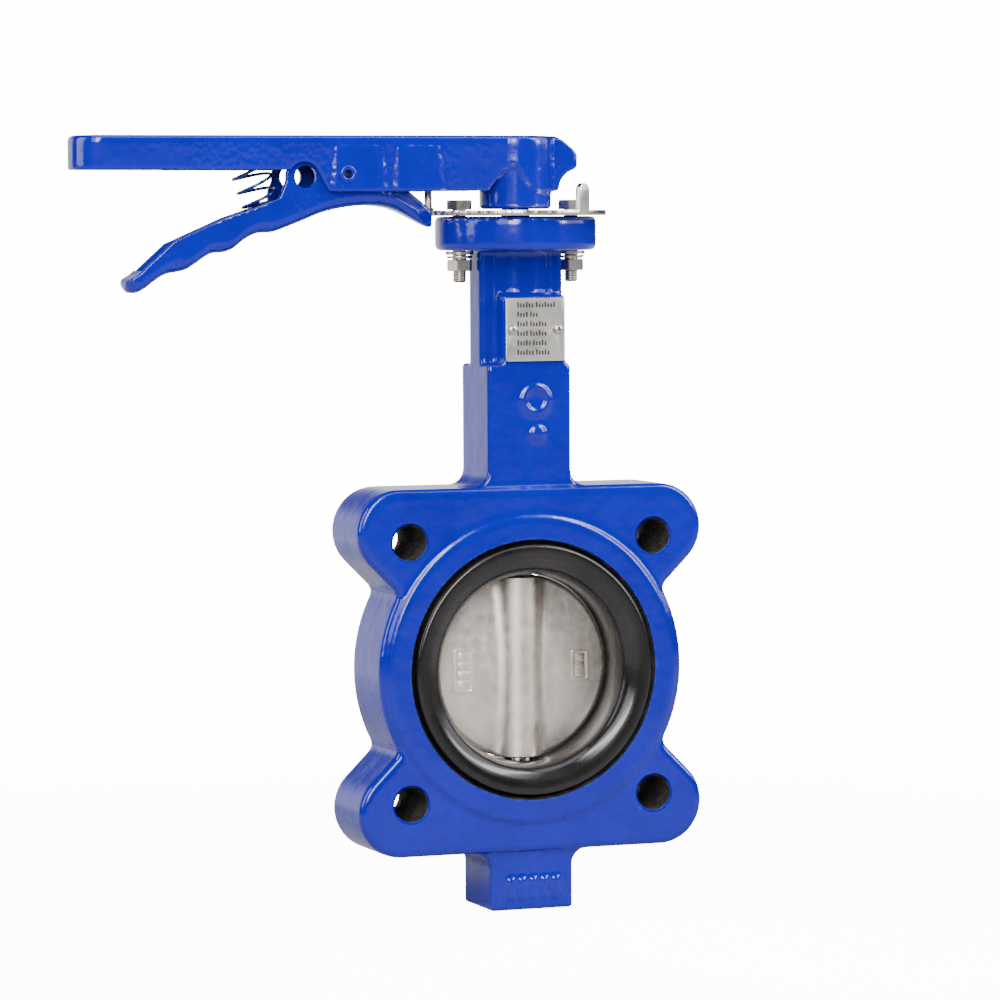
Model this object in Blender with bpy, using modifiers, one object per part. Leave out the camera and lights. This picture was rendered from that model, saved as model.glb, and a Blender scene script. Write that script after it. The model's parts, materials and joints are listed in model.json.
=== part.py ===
"""Lever-operated, fully lugged butterfly valve for an 80 mm pipe, built as separate machine parts.

Frame: the origin is the centre of the bore, where the pipe axis (Y) crosses the stem axis (Z).
+Z runs up the stem and the lever points along -X, which is the closed position.
All lengths are metres; MM turns the driving dimensions from millimetres.
"""

import math

import bmesh
import bpy
from mathutils import Matrix, Vector

MM = 0.001
GAP = 0.3 * MM
ARC_STEP = math.radians(11.25)

# Body casting
BOLT_CIRCLE = 160.0 * MM
HOLE_OFFSET = BOLT_CIRCLE / 2 * math.sin(math.radians(45))
LUG_EDGE = 79.5 * MM
LUG_CORNER = 19.0 * MM
LUG_HALF = 19.5 * MM
LUG_HOLE = 7.3 * MM
LUG_CHAMFER = 1.2 * MM
BARREL_RADIUS = 70.0 * MM
WAIST_FILLET = 4.0 * MM
RING_RADIUS = 67.2 * MM
RING_HALF = 21.0 * MM
SEAT_BORE = 56.0 * MM
SEAT_RIB_BORE = 53.6 * MM
SEAT_RIB_HALF = 7.0 * MM
NECK_HALF_WIDTH = 19.1 * MM
NECK_HALF_DEPTH = 17.0 * MM
NECK_TOP = 132.5 * MM
NECK_FLARE = 7.0 * MM
FOOT_BOTTOM = -105.4 * MM
WING_HALF_DEPTH = 8.0 * MM
STEM_HOUSING = 15.0 * MM
PAD_LEFT = -12.2 * MM
PAD_RIGHT = 17.0 * MM
PAD_TOP = 162.6 * MM
FLANGE_RADIUS = 35.1 * MM
FLANGE_BOTTOM = 181.8 * MM
FLANGE_TOP = 196.6 * MM
FLANGE_BOLT = 26.0 * MM
FLANGE_BOLT_HOLE = 3.5 * MM

# Stem line
STEM_RADIUS = 6.3 * MM
STEM_BORE = STEM_RADIUS + GAP
STEM_SQUARE = 9.0 * MM
STEM_TOP = 222.0 * MM
BUSH_RADIUS = 8.7 * MM
SEAL_CHAMBER_BOTTOM = 172.0 * MM
INNER_BUSH_BOTTOM = 58.5 * MM
INNER_BUSH_TOP = 72.0 * MM
LOWER_STEM_END = -92.0 * MM

# Seat liner and disc
LINER_BORE = 40.95 * MM
LINER_HALF = 23.0 * MM
LINER_RIM = 54.6 * MM
DISC_RADIUS = 40.6 * MM
DISC_HUB_RADIUS = 10.0 * MM
DISC_HUB_DOME = 40.4 * MM

# Notched plate under the lever
PLATE_BOTTOM = FLANGE_TOP + GAP
PLATE_THICK = 2.3 * MM
PLATE_TOP = PLATE_BOTTOM + PLATE_THICK
PLATE_RADIUS = 39.6 * MM
NOTCH_RIM = 38.4 * MM
NOTCH_ROOT = 35.6 * MM
NOTCH_WIDTH = 3.8 * MM
NOTCH_COUNT = 10
NOTCH_PITCH = math.radians(10)
TAB_WIDTH = 6.5 * MM
TAB_TOP = 210.7 * MM
TAB_LEAD = math.radians(28.2)

# Fasteners
M6 = 6.0 * MM
M6_ACROSS_FLATS = 10.0 * MM
M6_HEAD = 4.2 * MM
M6_NUT = 5.0 * MM
WASHER_RADIUS = 6.1 * MM
WASHER_THICK = 1.5 * MM

# Name plate
NAME_SIZE = 27.4 * MM
NAME_THICK = 0.8 * MM
NAME_CENTRE = (2.3 * MM, 147.6 * MM)
RIVET_SPREAD = 10.6 * MM

# Lever
LEVER_END = -200.2 * MM
LEVER_TOP = 231.5 * MM
LEVER_HALF_WIDTH = 14.2 * MM
LEVER_WALL = 2.5 * MM
LEVER_ROOF = 3.0 * MM
SHALLOW_EDGE = 216.8 * MM
DEEP_EDGE = 207.4 * MM
HEAD_RADIUS = 16.6 * MM
HUB_RADIUS = 15.6 * MM
HUB_BOTTOM = PLATE_TOP + 0.5 * MM
RECESS_RADIUS = 8.5 * MM
RECESS_FLOOR = 225.5 * MM

# Trigger and its pivot
PIVOT = Vector((-81.7 * MM, 0.0, 214.9 * MM))
PIVOT_SHANK = 2.9 * MM
PIVOT_HOLE = PIVOT_SHANK + GAP
TRIGGER_HALF_WIDTH = 11.3 * MM
GRIP_HALF_WIDTH = 8.3 * MM
TRIGGER_WALL = 2.0 * MM
TRIGGER_FLOOR = 2.4 * MM
LOCK_EYE = (-99.8 * MM, 213.8 * MM)
LOCK_EYE_RADIUS = 8.6 * MM
LOCK_HOLE = 4.8 * MM

# Trigger spring
SPRING_MEAN = 8.0 * MM
SPRING_WIRE = 0.7 * MM
SPRING_FOOT = Vector((-114.2 * MM, 0.0, 197.0 * MM))
SPRING_TILT = math.radians(19.5)
SPRING_LENGTH = 28.8 * MM
SPRING_TURNS = 6
SPRING_START = math.radians(-120)


# ---------------------------------------------------------------- shared tools


def make_collection(name: str) -> bpy.types.Collection:
    """A new collection in the scene."""
    found = bpy.data.collections.new(name)
    bpy.context.scene.collection.children.link(found)
    return found


def make_material(name: str, colour: tuple, roughness: float, metallic: float) -> bpy.types.Material:
    """A Principled material of one colour."""
    found = bpy.data.materials.new(name)
    found.use_nodes = True
    shader = found.node_tree.nodes["Principled BSDF"]
    shader.inputs["Base Color"].default_value = (*colour, 1.0)
    shader.inputs["Roughness"].default_value = roughness
    shader.inputs["Metallic"].default_value = metallic
    found.diffuse_color = (*colour, 1.0)
    return found


def add_mesh(name: str, shape: bmesh.types.BMesh) -> bpy.types.Object:
    """An object in the workshop collection that holds the given shape."""
    mesh = bpy.data.meshes.new(name)
    shape.to_mesh(mesh)
    shape.free()
    found = bpy.data.objects.new(name, mesh)
    bpy.data.collections["workshop"].objects.link(found)
    return found


def bake(target: bpy.types.Object) -> bpy.types.Object:
    """Applies the object's modifiers, with all faces turned outwards."""
    graph = bpy.context.evaluated_depsgraph_get()
    mesh = bpy.data.meshes.new_from_object(target.evaluated_get(graph))
    shape = bmesh.new()
    shape.from_mesh(mesh)
    bmesh.ops.recalc_face_normals(shape, faces=shape.faces)
    shape.to_mesh(mesh)
    shape.free()
    target.modifiers.clear()
    target.data = mesh
    return target


def cylinder(radius: float, low: float, high: float, axis: str = "Z", at: tuple = (0.0, 0.0),
             sides: int = 48, top_radius: float | None = None) -> bpy.types.Object:
    """A cylinder or cone frustum from low to high along an axis, Z or Y.

    The pair at is its centre on the other two axes: (x, y) or (x, z).
    """
    end_radius = radius if top_radius is None else top_radius
    shape = bmesh.new()
    bmesh.ops.create_cone(shape, cap_ends=True, segments=sides, radius1=radius, radius2=end_radius,
                          depth=high - low)
    middle = (low + high) / 2
    if axis == "Z":
        turn, place = Matrix.Identity(4), (at[0], at[1], middle)
    else:
        turn, place = Matrix.Rotation(math.radians(-90), 4, "X"), (at[0], middle, at[1])
    shape.transform(Matrix.Translation(place) @ turn)
    return add_mesh("cylinder", shape)


def block(low: tuple, high: tuple) -> bpy.types.Object:
    """A box between two corners."""
    shape = bmesh.new()
    bmesh.ops.create_cube(shape, size=1.0)
    size = [b - a for a, b in zip(low, high)]
    centre = [(a + b) / 2 for a, b in zip(low, high)]
    shape.transform(Matrix.Translation(centre) @ Matrix.Diagonal((*size, 1.0)))
    return add_mesh("block", shape)


def plate(points: list, low: float, high: float, normal: str = "Z") -> bpy.types.Object:
    """A flat outline thickened from low to high along its normal, Z or Y."""
    curve = bpy.data.curves.new("outline", "CURVE")
    curve.dimensions = "2D"
    curve.fill_mode = "BOTH"
    curve.extrude = (high - low) / 2
    spline = curve.splines.new("POLY")
    spline.points.add(len(points) - 1)
    for point, (u, v) in zip(spline.points, points):
        point.co = (u, v, 0.0, 1.0)
    spline.use_cyclic_u = True
    guide = bpy.data.objects.new("outline", curve)
    bpy.data.collections["workshop"].objects.link(guide)
    graph = bpy.context.evaluated_depsgraph_get()
    mesh = bpy.data.meshes.new_from_object(guide.evaluated_get(graph))
    shape = bmesh.new()
    shape.from_mesh(mesh)
    bmesh.ops.remove_doubles(shape, verts=shape.verts, dist=1e-6)
    bmesh.ops.dissolve_limit(shape, angle_limit=math.radians(0.5), verts=shape.verts, edges=shape.edges)
    bmesh.ops.recalc_face_normals(shape, faces=shape.faces)
    middle = (low + high) / 2
    if normal == "Y":
        shape.transform(Matrix.Translation((0, middle, 0)) @ Matrix.Rotation(math.radians(90), 4, "X"))
    else:
        shape.transform(Matrix.Translation((0, 0, middle)))
    bpy.data.objects.remove(guide)
    return add_mesh("plate", shape)


def turned(profile: list, axis: str = "Z", steps: int = 48) -> bpy.types.Object:
    """A closed profile of (radius, height) pairs turned round an axis, Z or Y."""
    shape = bmesh.new()
    corners = [shape.verts.new((radius, 0.0, height)) for radius, height in profile]
    for first, second in zip(corners, corners[1:] + corners[:1]):
        shape.edges.new((first, second))
    found = add_mesh("turned", shape)
    screw = found.modifiers.new("Screw", "SCREW")
    screw.steps = steps
    screw.render_steps = steps
    screw.use_merge_vertices = True
    screw.merge_threshold = 1e-6
    bake(found)
    if axis == "Y":
        found.data.transform(Matrix.Rotation(math.radians(-90), 4, "X"))
    return found


def rounded(target: bpy.types.Object, width: float, segments: int = 2,
            angle: float = 40.0) -> bpy.types.Object:
    """Rounds every edge sharper than the angle, in degrees."""
    bevel = target.modifiers.new("Bevel", "BEVEL")
    bevel.width = width
    bevel.segments = segments
    bevel.limit_method = "ANGLE"
    bevel.angle_limit = math.radians(angle)
    bevel.use_clamp_overlap = True
    return bake(target)


def boolean(target: bpy.types.Object, tool: bpy.types.Object, operation: str) -> bpy.types.Object:
    """Joins, cuts or intersects the target with a tool, which is used up."""
    modifier = target.modifiers.new("Boolean", "BOOLEAN")
    modifier.operation = operation
    modifier.solver = "EXACT"
    modifier.object = tool
    bake(target)
    bpy.data.objects.remove(tool)
    return target


def join(target: bpy.types.Object, *tools: bpy.types.Object) -> bpy.types.Object:
    """Adds each tool to the target."""
    for tool in tools:
        boolean(target, tool, "UNION")
    return target


def cut(target: bpy.types.Object, *tools: bpy.types.Object) -> bpy.types.Object:
    """Takes each tool away from the target."""
    for tool in tools:
        boolean(target, tool, "DIFFERENCE")
    return target


def finish(target: bpy.types.Object, name: str, material: bpy.types.Material, origin: tuple = (0, 0, 0),
           parent: bpy.types.Object | None = None) -> bpy.types.Object:
    """Names a piece, sets its origin, material and shading, and files it with the valve.

    Args:
        target: the piece, modelled in place.
        name: its node name.
        material: its finish.
        origin: where its origin goes.
        parent: the empty it moves with, if any.
    """
    origin = Vector(origin)
    target.data.transform(Matrix.Translation(-origin))
    target.location = origin
    if parent is not None:
        target.parent = parent
        target.location = origin - parent.location
    target.name = name
    target.data.name = name
    target.data.materials.clear()
    target.data.materials.append(material)
    target.data.shade_smooth()
    target.data.set_sharp_from_angle(angle=math.radians(32))
    bpy.data.collections["workshop"].objects.unlink(target)
    bpy.data.collections["butterfly_valve"].objects.link(target)
    return target


def arc(centre: tuple, radius: float, start: float, end: float) -> list:
    """Points on an arc between two angles in degrees, in even steps of about ARC_STEP."""
    first, last = math.radians(start), math.radians(end)
    count = max(2, math.ceil(abs(last - first) / ARC_STEP))
    angles = [first + (last - first) * i / count for i in range(count + 1)]
    return [(centre[0] + radius * math.cos(a), centre[1] + radius * math.sin(a)) for a in angles]


def smooth_line(knots: list, per_span: int = 4) -> list:
    """Points on a Catmull-Rom curve through the knots."""
    padded = [knots[0], *knots, knots[-1]]
    points = []
    for before, here, there, after in zip(padded, padded[1:], padded[2:], padded[3:]):
        for step in range(per_span):
            t = step / per_span
            points.append(tuple(
                0.5 * (2 * b + (c - a) * t + (2 * a - 5 * b + 4 * c - d) * t * t
                       + (3 * b - a - 3 * c + d) * t ** 3)
                for a, b, c, d in zip(before, here, there, after)
            ))
    points.append(tuple(knots[-1]))
    return points


def in_metres(points: list) -> list:
    """Pairs given in millimetres, as metres."""
    return [(u * MM, v * MM) for u, v in points]


# ---------------------------------------------------------------- body casting


def lug_quarter() -> list:
    """The outline of one quarter of the lugged body, from the +X axis to the +Z axis."""
    corner = LUG_EDGE - LUG_CORNER
    flank = LUG_CORNER
    reach = BARREL_RADIUS + WAIST_FILLET
    side = flank + WAIST_FILLET
    along = math.sqrt(reach ** 2 - side ** 2)
    diagonal = math.sqrt(0.5)
    fillet = ((along + side) * diagonal, (along - side) * diagonal)
    meet = math.degrees(math.atan2(fillet[1], fillet[0]))
    return [
        *arc((0.0, 0.0), BARREL_RADIUS, 0.0, meet),
        *arc(fillet, WAIST_FILLET, 180.0 + meet, 135.0)[1:],
        *arc((corner, corner), LUG_CORNER, -45.0, 90.0),
    ]


def body_outline() -> list:
    """The whole front outline of barrel and lugs."""
    quarter = lug_quarter()
    left = [(-x, z) for x, z in reversed(quarter)][:-1]
    upper = quarter + left
    lower = [(-x, -z) for x, z in upper]
    return upper + lower


def neck_outline() -> list:
    """The outline of the foot block and the lower neck, flared where they meet the lugs."""
    flare = NECK_HALF_WIDTH + NECK_FLARE
    inside = LUG_EDGE - 5 * MM
    right = [
        (NECK_HALF_WIDTH, FOOT_BOTTOM),
        *arc((flare, -LUG_EDGE - NECK_FLARE), NECK_FLARE, 180.0, 90.0),
        (flare, -inside),
        (flare, inside),
        *arc((flare, LUG_EDGE + NECK_FLARE), NECK_FLARE, 270.0, 180.0),
        (NECK_HALF_WIDTH, NECK_TOP),
    ]
    return right + [(-x, z) for x, z in reversed(right)]


def lug_hole_cutters() -> list:
    """A drill and two countersinks for each of the four lugs."""
    tools = []
    for x in (-HOLE_OFFSET, HOLE_OFFSET):
        for z in (-HOLE_OFFSET, HOLE_OFFSET):
            far = LUG_HALF + 1 * MM
            tools.append(cylinder(LUG_HOLE, -far, far, "Y", (x, z), 20))
            sink = LUG_HOLE + LUG_CHAMFER + 1 * MM
            deep = LUG_HALF - LUG_CHAMFER
            tools.append(cylinder(sink, -far, -deep, "Y", (x, z), 20, LUG_HOLE))
            tools.append(cylinder(LUG_HOLE, deep, far, "Y", (x, z), 20, sink))
    return tools


def make_body(paint: bpy.types.Material) -> None:
    """The one-piece casting: barrel, lugs, foot, neck, name-plate pad and top flange."""
    body = rounded(plate(body_outline(), -LUG_HALF, LUG_HALF, "Y"), 2.2 * MM)
    ring = rounded(cylinder(RING_RADIUS, -RING_HALF, RING_HALF, "Y", sides=48), 1.2 * MM, 1)
    neck = rounded(plate(neck_outline(), -NECK_HALF_DEPTH, NECK_HALF_DEPTH, "Y"), 1.8 * MM)
    low, high = NECK_TOP - 4.5 * MM, FLANGE_BOTTOM + 3 * MM
    width = NECK_HALF_WIDTH + 0.1 * MM
    wings = rounded(block((-width, -WING_HALF_DEPTH, low), (width, WING_HALF_DEPTH, high)), 1.5 * MM)
    housing = cylinder(STEM_HOUSING, low, high)
    front = -NECK_HALF_DEPTH + 0.05 * MM
    pad = rounded(block((PAD_LEFT, front, low), (PAD_RIGHT, -5 * MM, PAD_TOP)), 1.2 * MM)
    flange = rounded(cylinder(FLANGE_RADIUS, FLANGE_BOTTOM, FLANGE_TOP, sides=48), 1.8 * MM)
    join(body, ring, neck, wings, housing, pad, flange)

    past = RING_HALF + 2 * MM
    cut(
        body,
        cylinder(SEAT_RIB_BORE, -past, past, "Y", sides=40),
        cylinder(SEAT_BORE, -past, -SEAT_RIB_HALF, "Y", sides=40),
        cylinder(SEAT_BORE, SEAT_RIB_HALF, past, "Y", sides=40),
        *lug_hole_cutters(),
    )
    bush = BUSH_RADIUS + GAP
    inside = SEAT_RIB_BORE - 4 * MM
    cut(
        body,
        cylinder(STEM_BORE, inside, FLANGE_TOP + 1 * MM, sides=24),
        cylinder(bush, SEAL_CHAMBER_BOTTOM, FLANGE_TOP + 1 * MM, sides=24),
        cylinder(bush, inside, INNER_BUSH_TOP + GAP, sides=24),
        cylinder(STEM_BORE, LOWER_STEM_END - GAP, -inside, sides=24),
        cylinder(bush, -INNER_BUSH_TOP - GAP, -inside, sides=24),
    )
    for side in (-1, 1):
        cut(body, cylinder(FLANGE_BOLT_HOLE, FLANGE_BOTTOM - 1 * MM, FLANGE_TOP + 1 * MM,
                           at=(side * FLANGE_BOLT, 0.0), sides=20))
        cut(body, cylinder(1.3 * MM, -NECK_HALF_DEPTH - 1 * MM, -NECK_HALF_DEPTH + 5 * MM, "Y",
                           (NAME_CENTRE[0] + side * RIVET_SPREAD, NAME_CENTRE[1]), 12))
    finish(body, "valve_body", paint)


# ---------------------------------------------------------------- seat, disc and stem line


def make_liner(rubber: bpy.types.Material) -> None:
    """The moulded seat: a rib locks it in the body and its two rims seal on the pipe flanges."""
    outer = SEAT_BORE - GAP
    waist = SEAT_RIB_BORE - GAP
    half_rib = SEAT_RIB_HALF + GAP
    shoulder = LINER_HALF - 5.5 * MM
    upper = [
        (LINER_BORE, 0.0),
        (LINER_BORE, 11 * MM),
        (42.0 * MM, 18 * MM),
        (44.6 * MM, 21.4 * MM),
        (49.0 * MM, LINER_HALF),
        (52.0 * MM, LINER_HALF),
        (54.0 * MM, 21.8 * MM),
        (LINER_RIM, 19.8 * MM),
        (LINER_RIM, shoulder + 0.4 * MM),
        (outer, shoulder - 0.4 * MM),
        (outer, half_rib),
        (waist, half_rib),
    ]
    profile = upper + [(radius, -height) for radius, height in reversed(upper)][:-1]
    liner = turned(profile, "Y", 40)
    cut(
        liner,
        cylinder(STEM_BORE, 30 * MM, 60 * MM, sides=24),
        cylinder(STEM_BORE, -60 * MM, -30 * MM, sides=24),
    )
    finish(liner, "seat_liner", rubber)


def make_disc(steel: bpy.types.Material, stem_axis: bpy.types.Object) -> None:
    """The disc: a shallow lens with a round hub down its middle and two blank raised pads."""
    half = [
        (0.0, 5.0 * MM),
        (14 * MM, 4.9 * MM),
        (28 * MM, 4.0 * MM),
        (DISC_RADIUS - 2.0 * MM, 2.6 * MM),
        (DISC_RADIUS - 0.5 * MM, 1.9 * MM),
        (DISC_RADIUS, 0.8 * MM),
    ]
    disc = turned(half + [(radius, -height) for radius, height in reversed(half)], "Y", 40)
    end = math.degrees(math.acos(DISC_HUB_RADIUS / DISC_HUB_DOME))
    crown = arc((0.0, 0.0), DISC_HUB_DOME, end, 90.0)
    hub = turned(crown + [(radius, -height) for radius, height in reversed(crown)], steps=32)
    join(disc, hub)
    for side, width, height, centre in ((-1, 8.6, 19.2, -26.6), (1, 7.4, 12.8, 28.0)):
        low = ((centre - width / 2) * MM, -4.4 * MM if side < 0 else -4.3 * MM, (-1.6 - height / 2) * MM)
        high = ((centre + width / 2) * MM, 0.0, (-1.6 + height / 2) * MM)
        join(disc, rounded(block(low, high), 0.9 * MM, 2))
    half_socket = STEM_SQUARE / 2 + GAP
    cut(
        disc,
        block((-half_socket, -half_socket, 8 * MM), (half_socket, half_socket, 45 * MM)),
        cylinder(STEM_BORE, -45 * MM, -8 * MM, sides=24),
    )
    finish(disc, "disc", steel, parent=stem_axis)


def make_stems(steel: bpy.types.Material, stem_axis: bpy.types.Object) -> None:
    """The drive stem, squared at both ends and tapped for the lever screw, and the lower stub."""
    half = STEM_SQUARE / 2
    round_low, round_high = DISC_RADIUS + 0.4 * MM, HUB_BOTTOM - 0.2 * MM
    upper = cylinder(STEM_RADIUS, round_low, round_high, sides=24)
    join(upper, block((-half, -half, 9 * MM), (half, half, STEM_TOP)))
    cut(upper, cylinder(2.6 * MM, STEM_TOP - 14 * MM, STEM_TOP + 1 * MM, sides=16))
    finish(upper, "upper_stem", steel, parent=stem_axis)
    lower = rounded(cylinder(STEM_RADIUS, LOWER_STEM_END, -9 * MM, sides=24), 0.6 * MM, 1)
    finish(lower, "lower_stem", steel, parent=stem_axis)


def sleeve(inner: float, outer: float, low: float, high: float, sides: int = 32) -> bpy.types.Object:
    """A plain ring round the stem axis."""
    return turned([(inner, high), (outer, high), (outer, low), (inner, low)], steps=sides)


def make_bushes(polymer: bpy.types.Material, rubber: bpy.types.Material) -> None:
    """Three plain bearings for the stems and two round seal rings in the neck."""
    spans = {
        "stem_bush_top": (182.0 * MM, FLANGE_TOP - 0.2 * MM),
        "stem_bush_middle": (INNER_BUSH_BOTTOM, INNER_BUSH_TOP),
        "stem_bush_bottom": (-INNER_BUSH_TOP, -INNER_BUSH_BOTTOM),
    }
    for name, (low, high) in spans.items():
        finish(sleeve(STEM_BORE, BUSH_RADIUS, low, high), name, polymer, (0, 0, (low + high) / 2))
    middle = (STEM_BORE + BUSH_RADIUS) / 2
    thick = (BUSH_RADIUS - STEM_BORE) / 2
    for index, height in enumerate((174.6 * MM, 178.2 * MM), start=1):
        ring = turned(arc((middle, height), thick, 0.0, 330.0)[::5], steps=16)
        finish(ring, f"stem_seal_ring_{index}", rubber, (0, 0, height))


def make_circlip(steel: bpy.types.Material, stem_axis: bpy.types.Object) -> None:
    """The open ring that keeps the stem from rising, in the plate's centre hole."""
    outline = [
        *arc((0, 0), 9.2 * MM, 20.0, 340.0),
        *reversed(arc((0, 0), STEM_BORE, 26.0, 334.0)),
    ]
    ring = plate(outline, PLATE_BOTTOM + 0.3 * MM, PLATE_BOTTOM + 1.5 * MM)
    finish(ring, "stem_circlip", steel, parent=stem_axis)


# ---------------------------------------------------------------- notched plate and its fasteners


def plate_outline() -> list:
    """The plate's rim: ten notches from the closed to the open position, and a plain arc elsewhere."""
    half = NOTCH_WIDTH / 2
    rim_turn = math.asin(half / NOTCH_RIM)
    root_turn = math.asin(half / NOTCH_ROOT)
    points = []
    for index in range(NOTCH_COUNT):
        middle = math.pi + index * NOTCH_PITCH
        for radius, turn in ((NOTCH_RIM, -rim_turn), (NOTCH_ROOT, -root_turn), (NOTCH_ROOT, root_turn),
                             (NOTCH_RIM, rim_turn)):
            angle = middle + turn
            points.append((radius * math.cos(angle), radius * math.sin(angle)))
    points += arc((0, 0), NOTCH_RIM, 274.5, 277.0)
    points += arc((0, 0), PLATE_RADIUS, 279.0, 531.0)
    points += arc((0, 0), NOTCH_RIM, 533.0, 535.5)
    return points


def stop_tab(angle: float) -> bpy.types.Object:
    """One upturned stop at the plate's rim, with a rounded top."""
    half = TAB_WIDTH / 2
    crown = TAB_TOP - half
    foot = PLATE_BOTTOM + 0.4 * MM
    outline = [(-half, foot), (half, foot), *arc((0, crown), half, 0.0, 180.0)]
    tab = plate(outline, -PLATE_RADIUS, -PLATE_RADIUS + PLATE_THICK, "Y")
    tab.data.transform(Matrix.Rotation(angle + math.pi / 2, 4, "Z"))
    return tab


def make_plate(steel: bpy.types.Material) -> None:
    """The notched plate with its two stops, drilled for the stem and the two bolts."""
    disc = plate(plate_outline(), PLATE_BOTTOM, PLATE_TOP)
    join(disc, stop_tab(math.pi - TAB_LEAD), stop_tab(1.5 * math.pi + TAB_LEAD))
    cut(disc, cylinder(10 * MM, PLATE_BOTTOM - 1 * MM, PLATE_TOP + 1 * MM, sides=24))
    for side in (-1, 1):
        cut(disc, cylinder(FLANGE_BOLT_HOLE, PLATE_BOTTOM - 1 * MM, PLATE_TOP + 1 * MM,
                           at=(side * FLANGE_BOLT, 0.0), sides=20))
    finish(disc, "notch_plate", steel)


def hexagon(across: float, low: float, high: float) -> bpy.types.Object:
    """A hexagonal prism with a flat towards the stem, chamfered by a cone on its upper end."""
    corner = across / 2 / math.cos(math.radians(30))
    prism = cylinder(corner, low, high, sides=6)
    crown = cylinder(corner * 1.5, low - 1 * MM, high, sides=24, top_radius=across / 2 * 0.97)
    return boolean(prism, crown, "INTERSECT")


def make_flange_fasteners(steel: bpy.types.Material) -> None:
    """Two hexagon bolts down through plate and flange, each with a washer, a spring washer and a nut."""
    seat = PLATE_TOP + GAP
    washer_top = FLANGE_BOTTOM - GAP
    spring_top = washer_top - WASHER_THICK - GAP
    nut_top = spring_top - WASHER_THICK - GAP
    nut_bottom = nut_top - M6_NUT
    bolt = join(hexagon(M6_ACROSS_FLATS, seat, seat + M6_HEAD),
                rounded(cylinder(M6 / 2, nut_bottom - 4.9 * MM, seat + 1 * MM, sides=24), 0.5 * MM, 1))
    bore = M6 / 2 + GAP
    washer = sleeve(bore, WASHER_RADIUS, washer_top - WASHER_THICK, washer_top)
    split = sleeve(bore, WASHER_RADIUS - 0.6 * MM, spring_top - WASHER_THICK, spring_top)
    cut(split, block((0, -0.4 * MM, spring_top - 3 * MM), (8 * MM, 0.4 * MM, spring_top + 1 * MM)))
    nut = hexagon(M6_ACROSS_FLATS, nut_bottom, nut_top)
    cut(nut, cylinder(bore, nut_bottom - 1 * MM, nut_top + 1 * MM, sides=24))
    kinds = {"flange_bolt": bolt, "flange_washer": washer, "spring_washer": split, "flange_nut": nut}
    for kind, master in kinds.items():
        for side, word in ((-1, "left"), (1, "right")):
            piece = bpy.data.objects.new(kind, master.data.copy())
            bpy.data.collections["workshop"].objects.link(piece)
            piece.data.transform(Matrix.Translation((side * FLANGE_BOLT, 0, 0)))
            finish(piece, f"{kind}_{word}", steel, (side * FLANGE_BOLT, 0, 0))
        bpy.data.objects.remove(master)


def make_name_plate(steel: bpy.types.Material) -> None:
    """A blank square plate and the two dome-headed rivets that hold it to the neck."""
    half = NAME_SIZE / 2
    corner = 1.2 * MM
    x, z = NAME_CENTRE
    outline = []
    for sign_x, sign_z, start in ((1, 1, 0.0), (-1, 1, 90.0), (-1, -1, 180.0), (1, -1, 270.0)):
        centre = (x + sign_x * (half - corner), z + sign_z * (half - corner))
        outline += arc(centre, corner, start, start + 90.0)[::4]
    back = -NECK_HALF_DEPTH - GAP
    sheet = plate(outline, back - NAME_THICK, back, "Y")
    for side in (-1, 1):
        cut(sheet, cylinder(1.3 * MM, back - 2 * MM, back + 1 * MM, "Y", (x + side * RIVET_SPREAD, z), 12))
    finish(sheet, "name_plate", steel, (x, back, z))
    for side, word in ((-1, "left"), (1, "right")):
        rivet = turned([(0, 4.4 * MM), (1.0 * MM, 4.4 * MM), (1.0 * MM, 0), (2.0 * MM, 0),
                        (1.85 * MM, -0.55 * MM), (1.3 * MM, -0.95 * MM), (0, -1.15 * MM)], "Y", 20)
        place = (x + side * RIVET_SPREAD, back - NAME_THICK - GAP, z)
        rivet.data.transform(Matrix.Translation(place))
        finish(rivet, f"name_plate_rivet_{word}", steel, place)


# ---------------------------------------------------------------- lever


def lever_plan(inset: float, right: float) -> list:
    """The channel seen from above, drawn in by an inset and ended at the given x."""
    half = LEVER_HALF_WIDTH - inset
    corner = 7 * MM - inset
    left = LEVER_END + inset
    return [
        (right, half),
        *arc((left + corner, half - corner), corner, 90.0, 180.0),
        *arc((left + corner, corner - half), corner, 180.0, 270.0),
        (right, -half),
    ]


def lever_silhouette() -> list:
    """The lever's side view: shallow grip, arch over the lock eye, deep middle and the head's skirt."""
    beak = smooth_line(in_metres([(15.5, 231.9), (21.0, 228.5), (26.6, 223.2), (26.6, 218.2), (21.6, 215.4),
                                  (18.6, 212.0), (17.4, 207.6)]), 3)
    skirt = smooth_line(in_metres([(13.0, 207.2), (7.0, 207.0), (0.5, 210.5), (-4.5, 217.6), (-6.5, 219.0),
                                   (-9.5, 217.2), (-17.2, DEEP_EDGE / MM)]), 3)
    arch = arc((LOCK_EYE[0] - 1.0 * MM, SHALLOW_EDGE - 3.6 * MM), 6.8 * MM, 38.0, 150.0)
    return [
        (LEVER_END - 5 * MM, LEVER_TOP + 5 * MM),
        (15.5 * MM, LEVER_TOP + 5 * MM),
        *beak,
        *skirt,
        (-89.8 * MM, DEEP_EDGE),
        *arch,
        (LEVER_END - 5 * MM, SHALLOW_EDGE),
    ]


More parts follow.
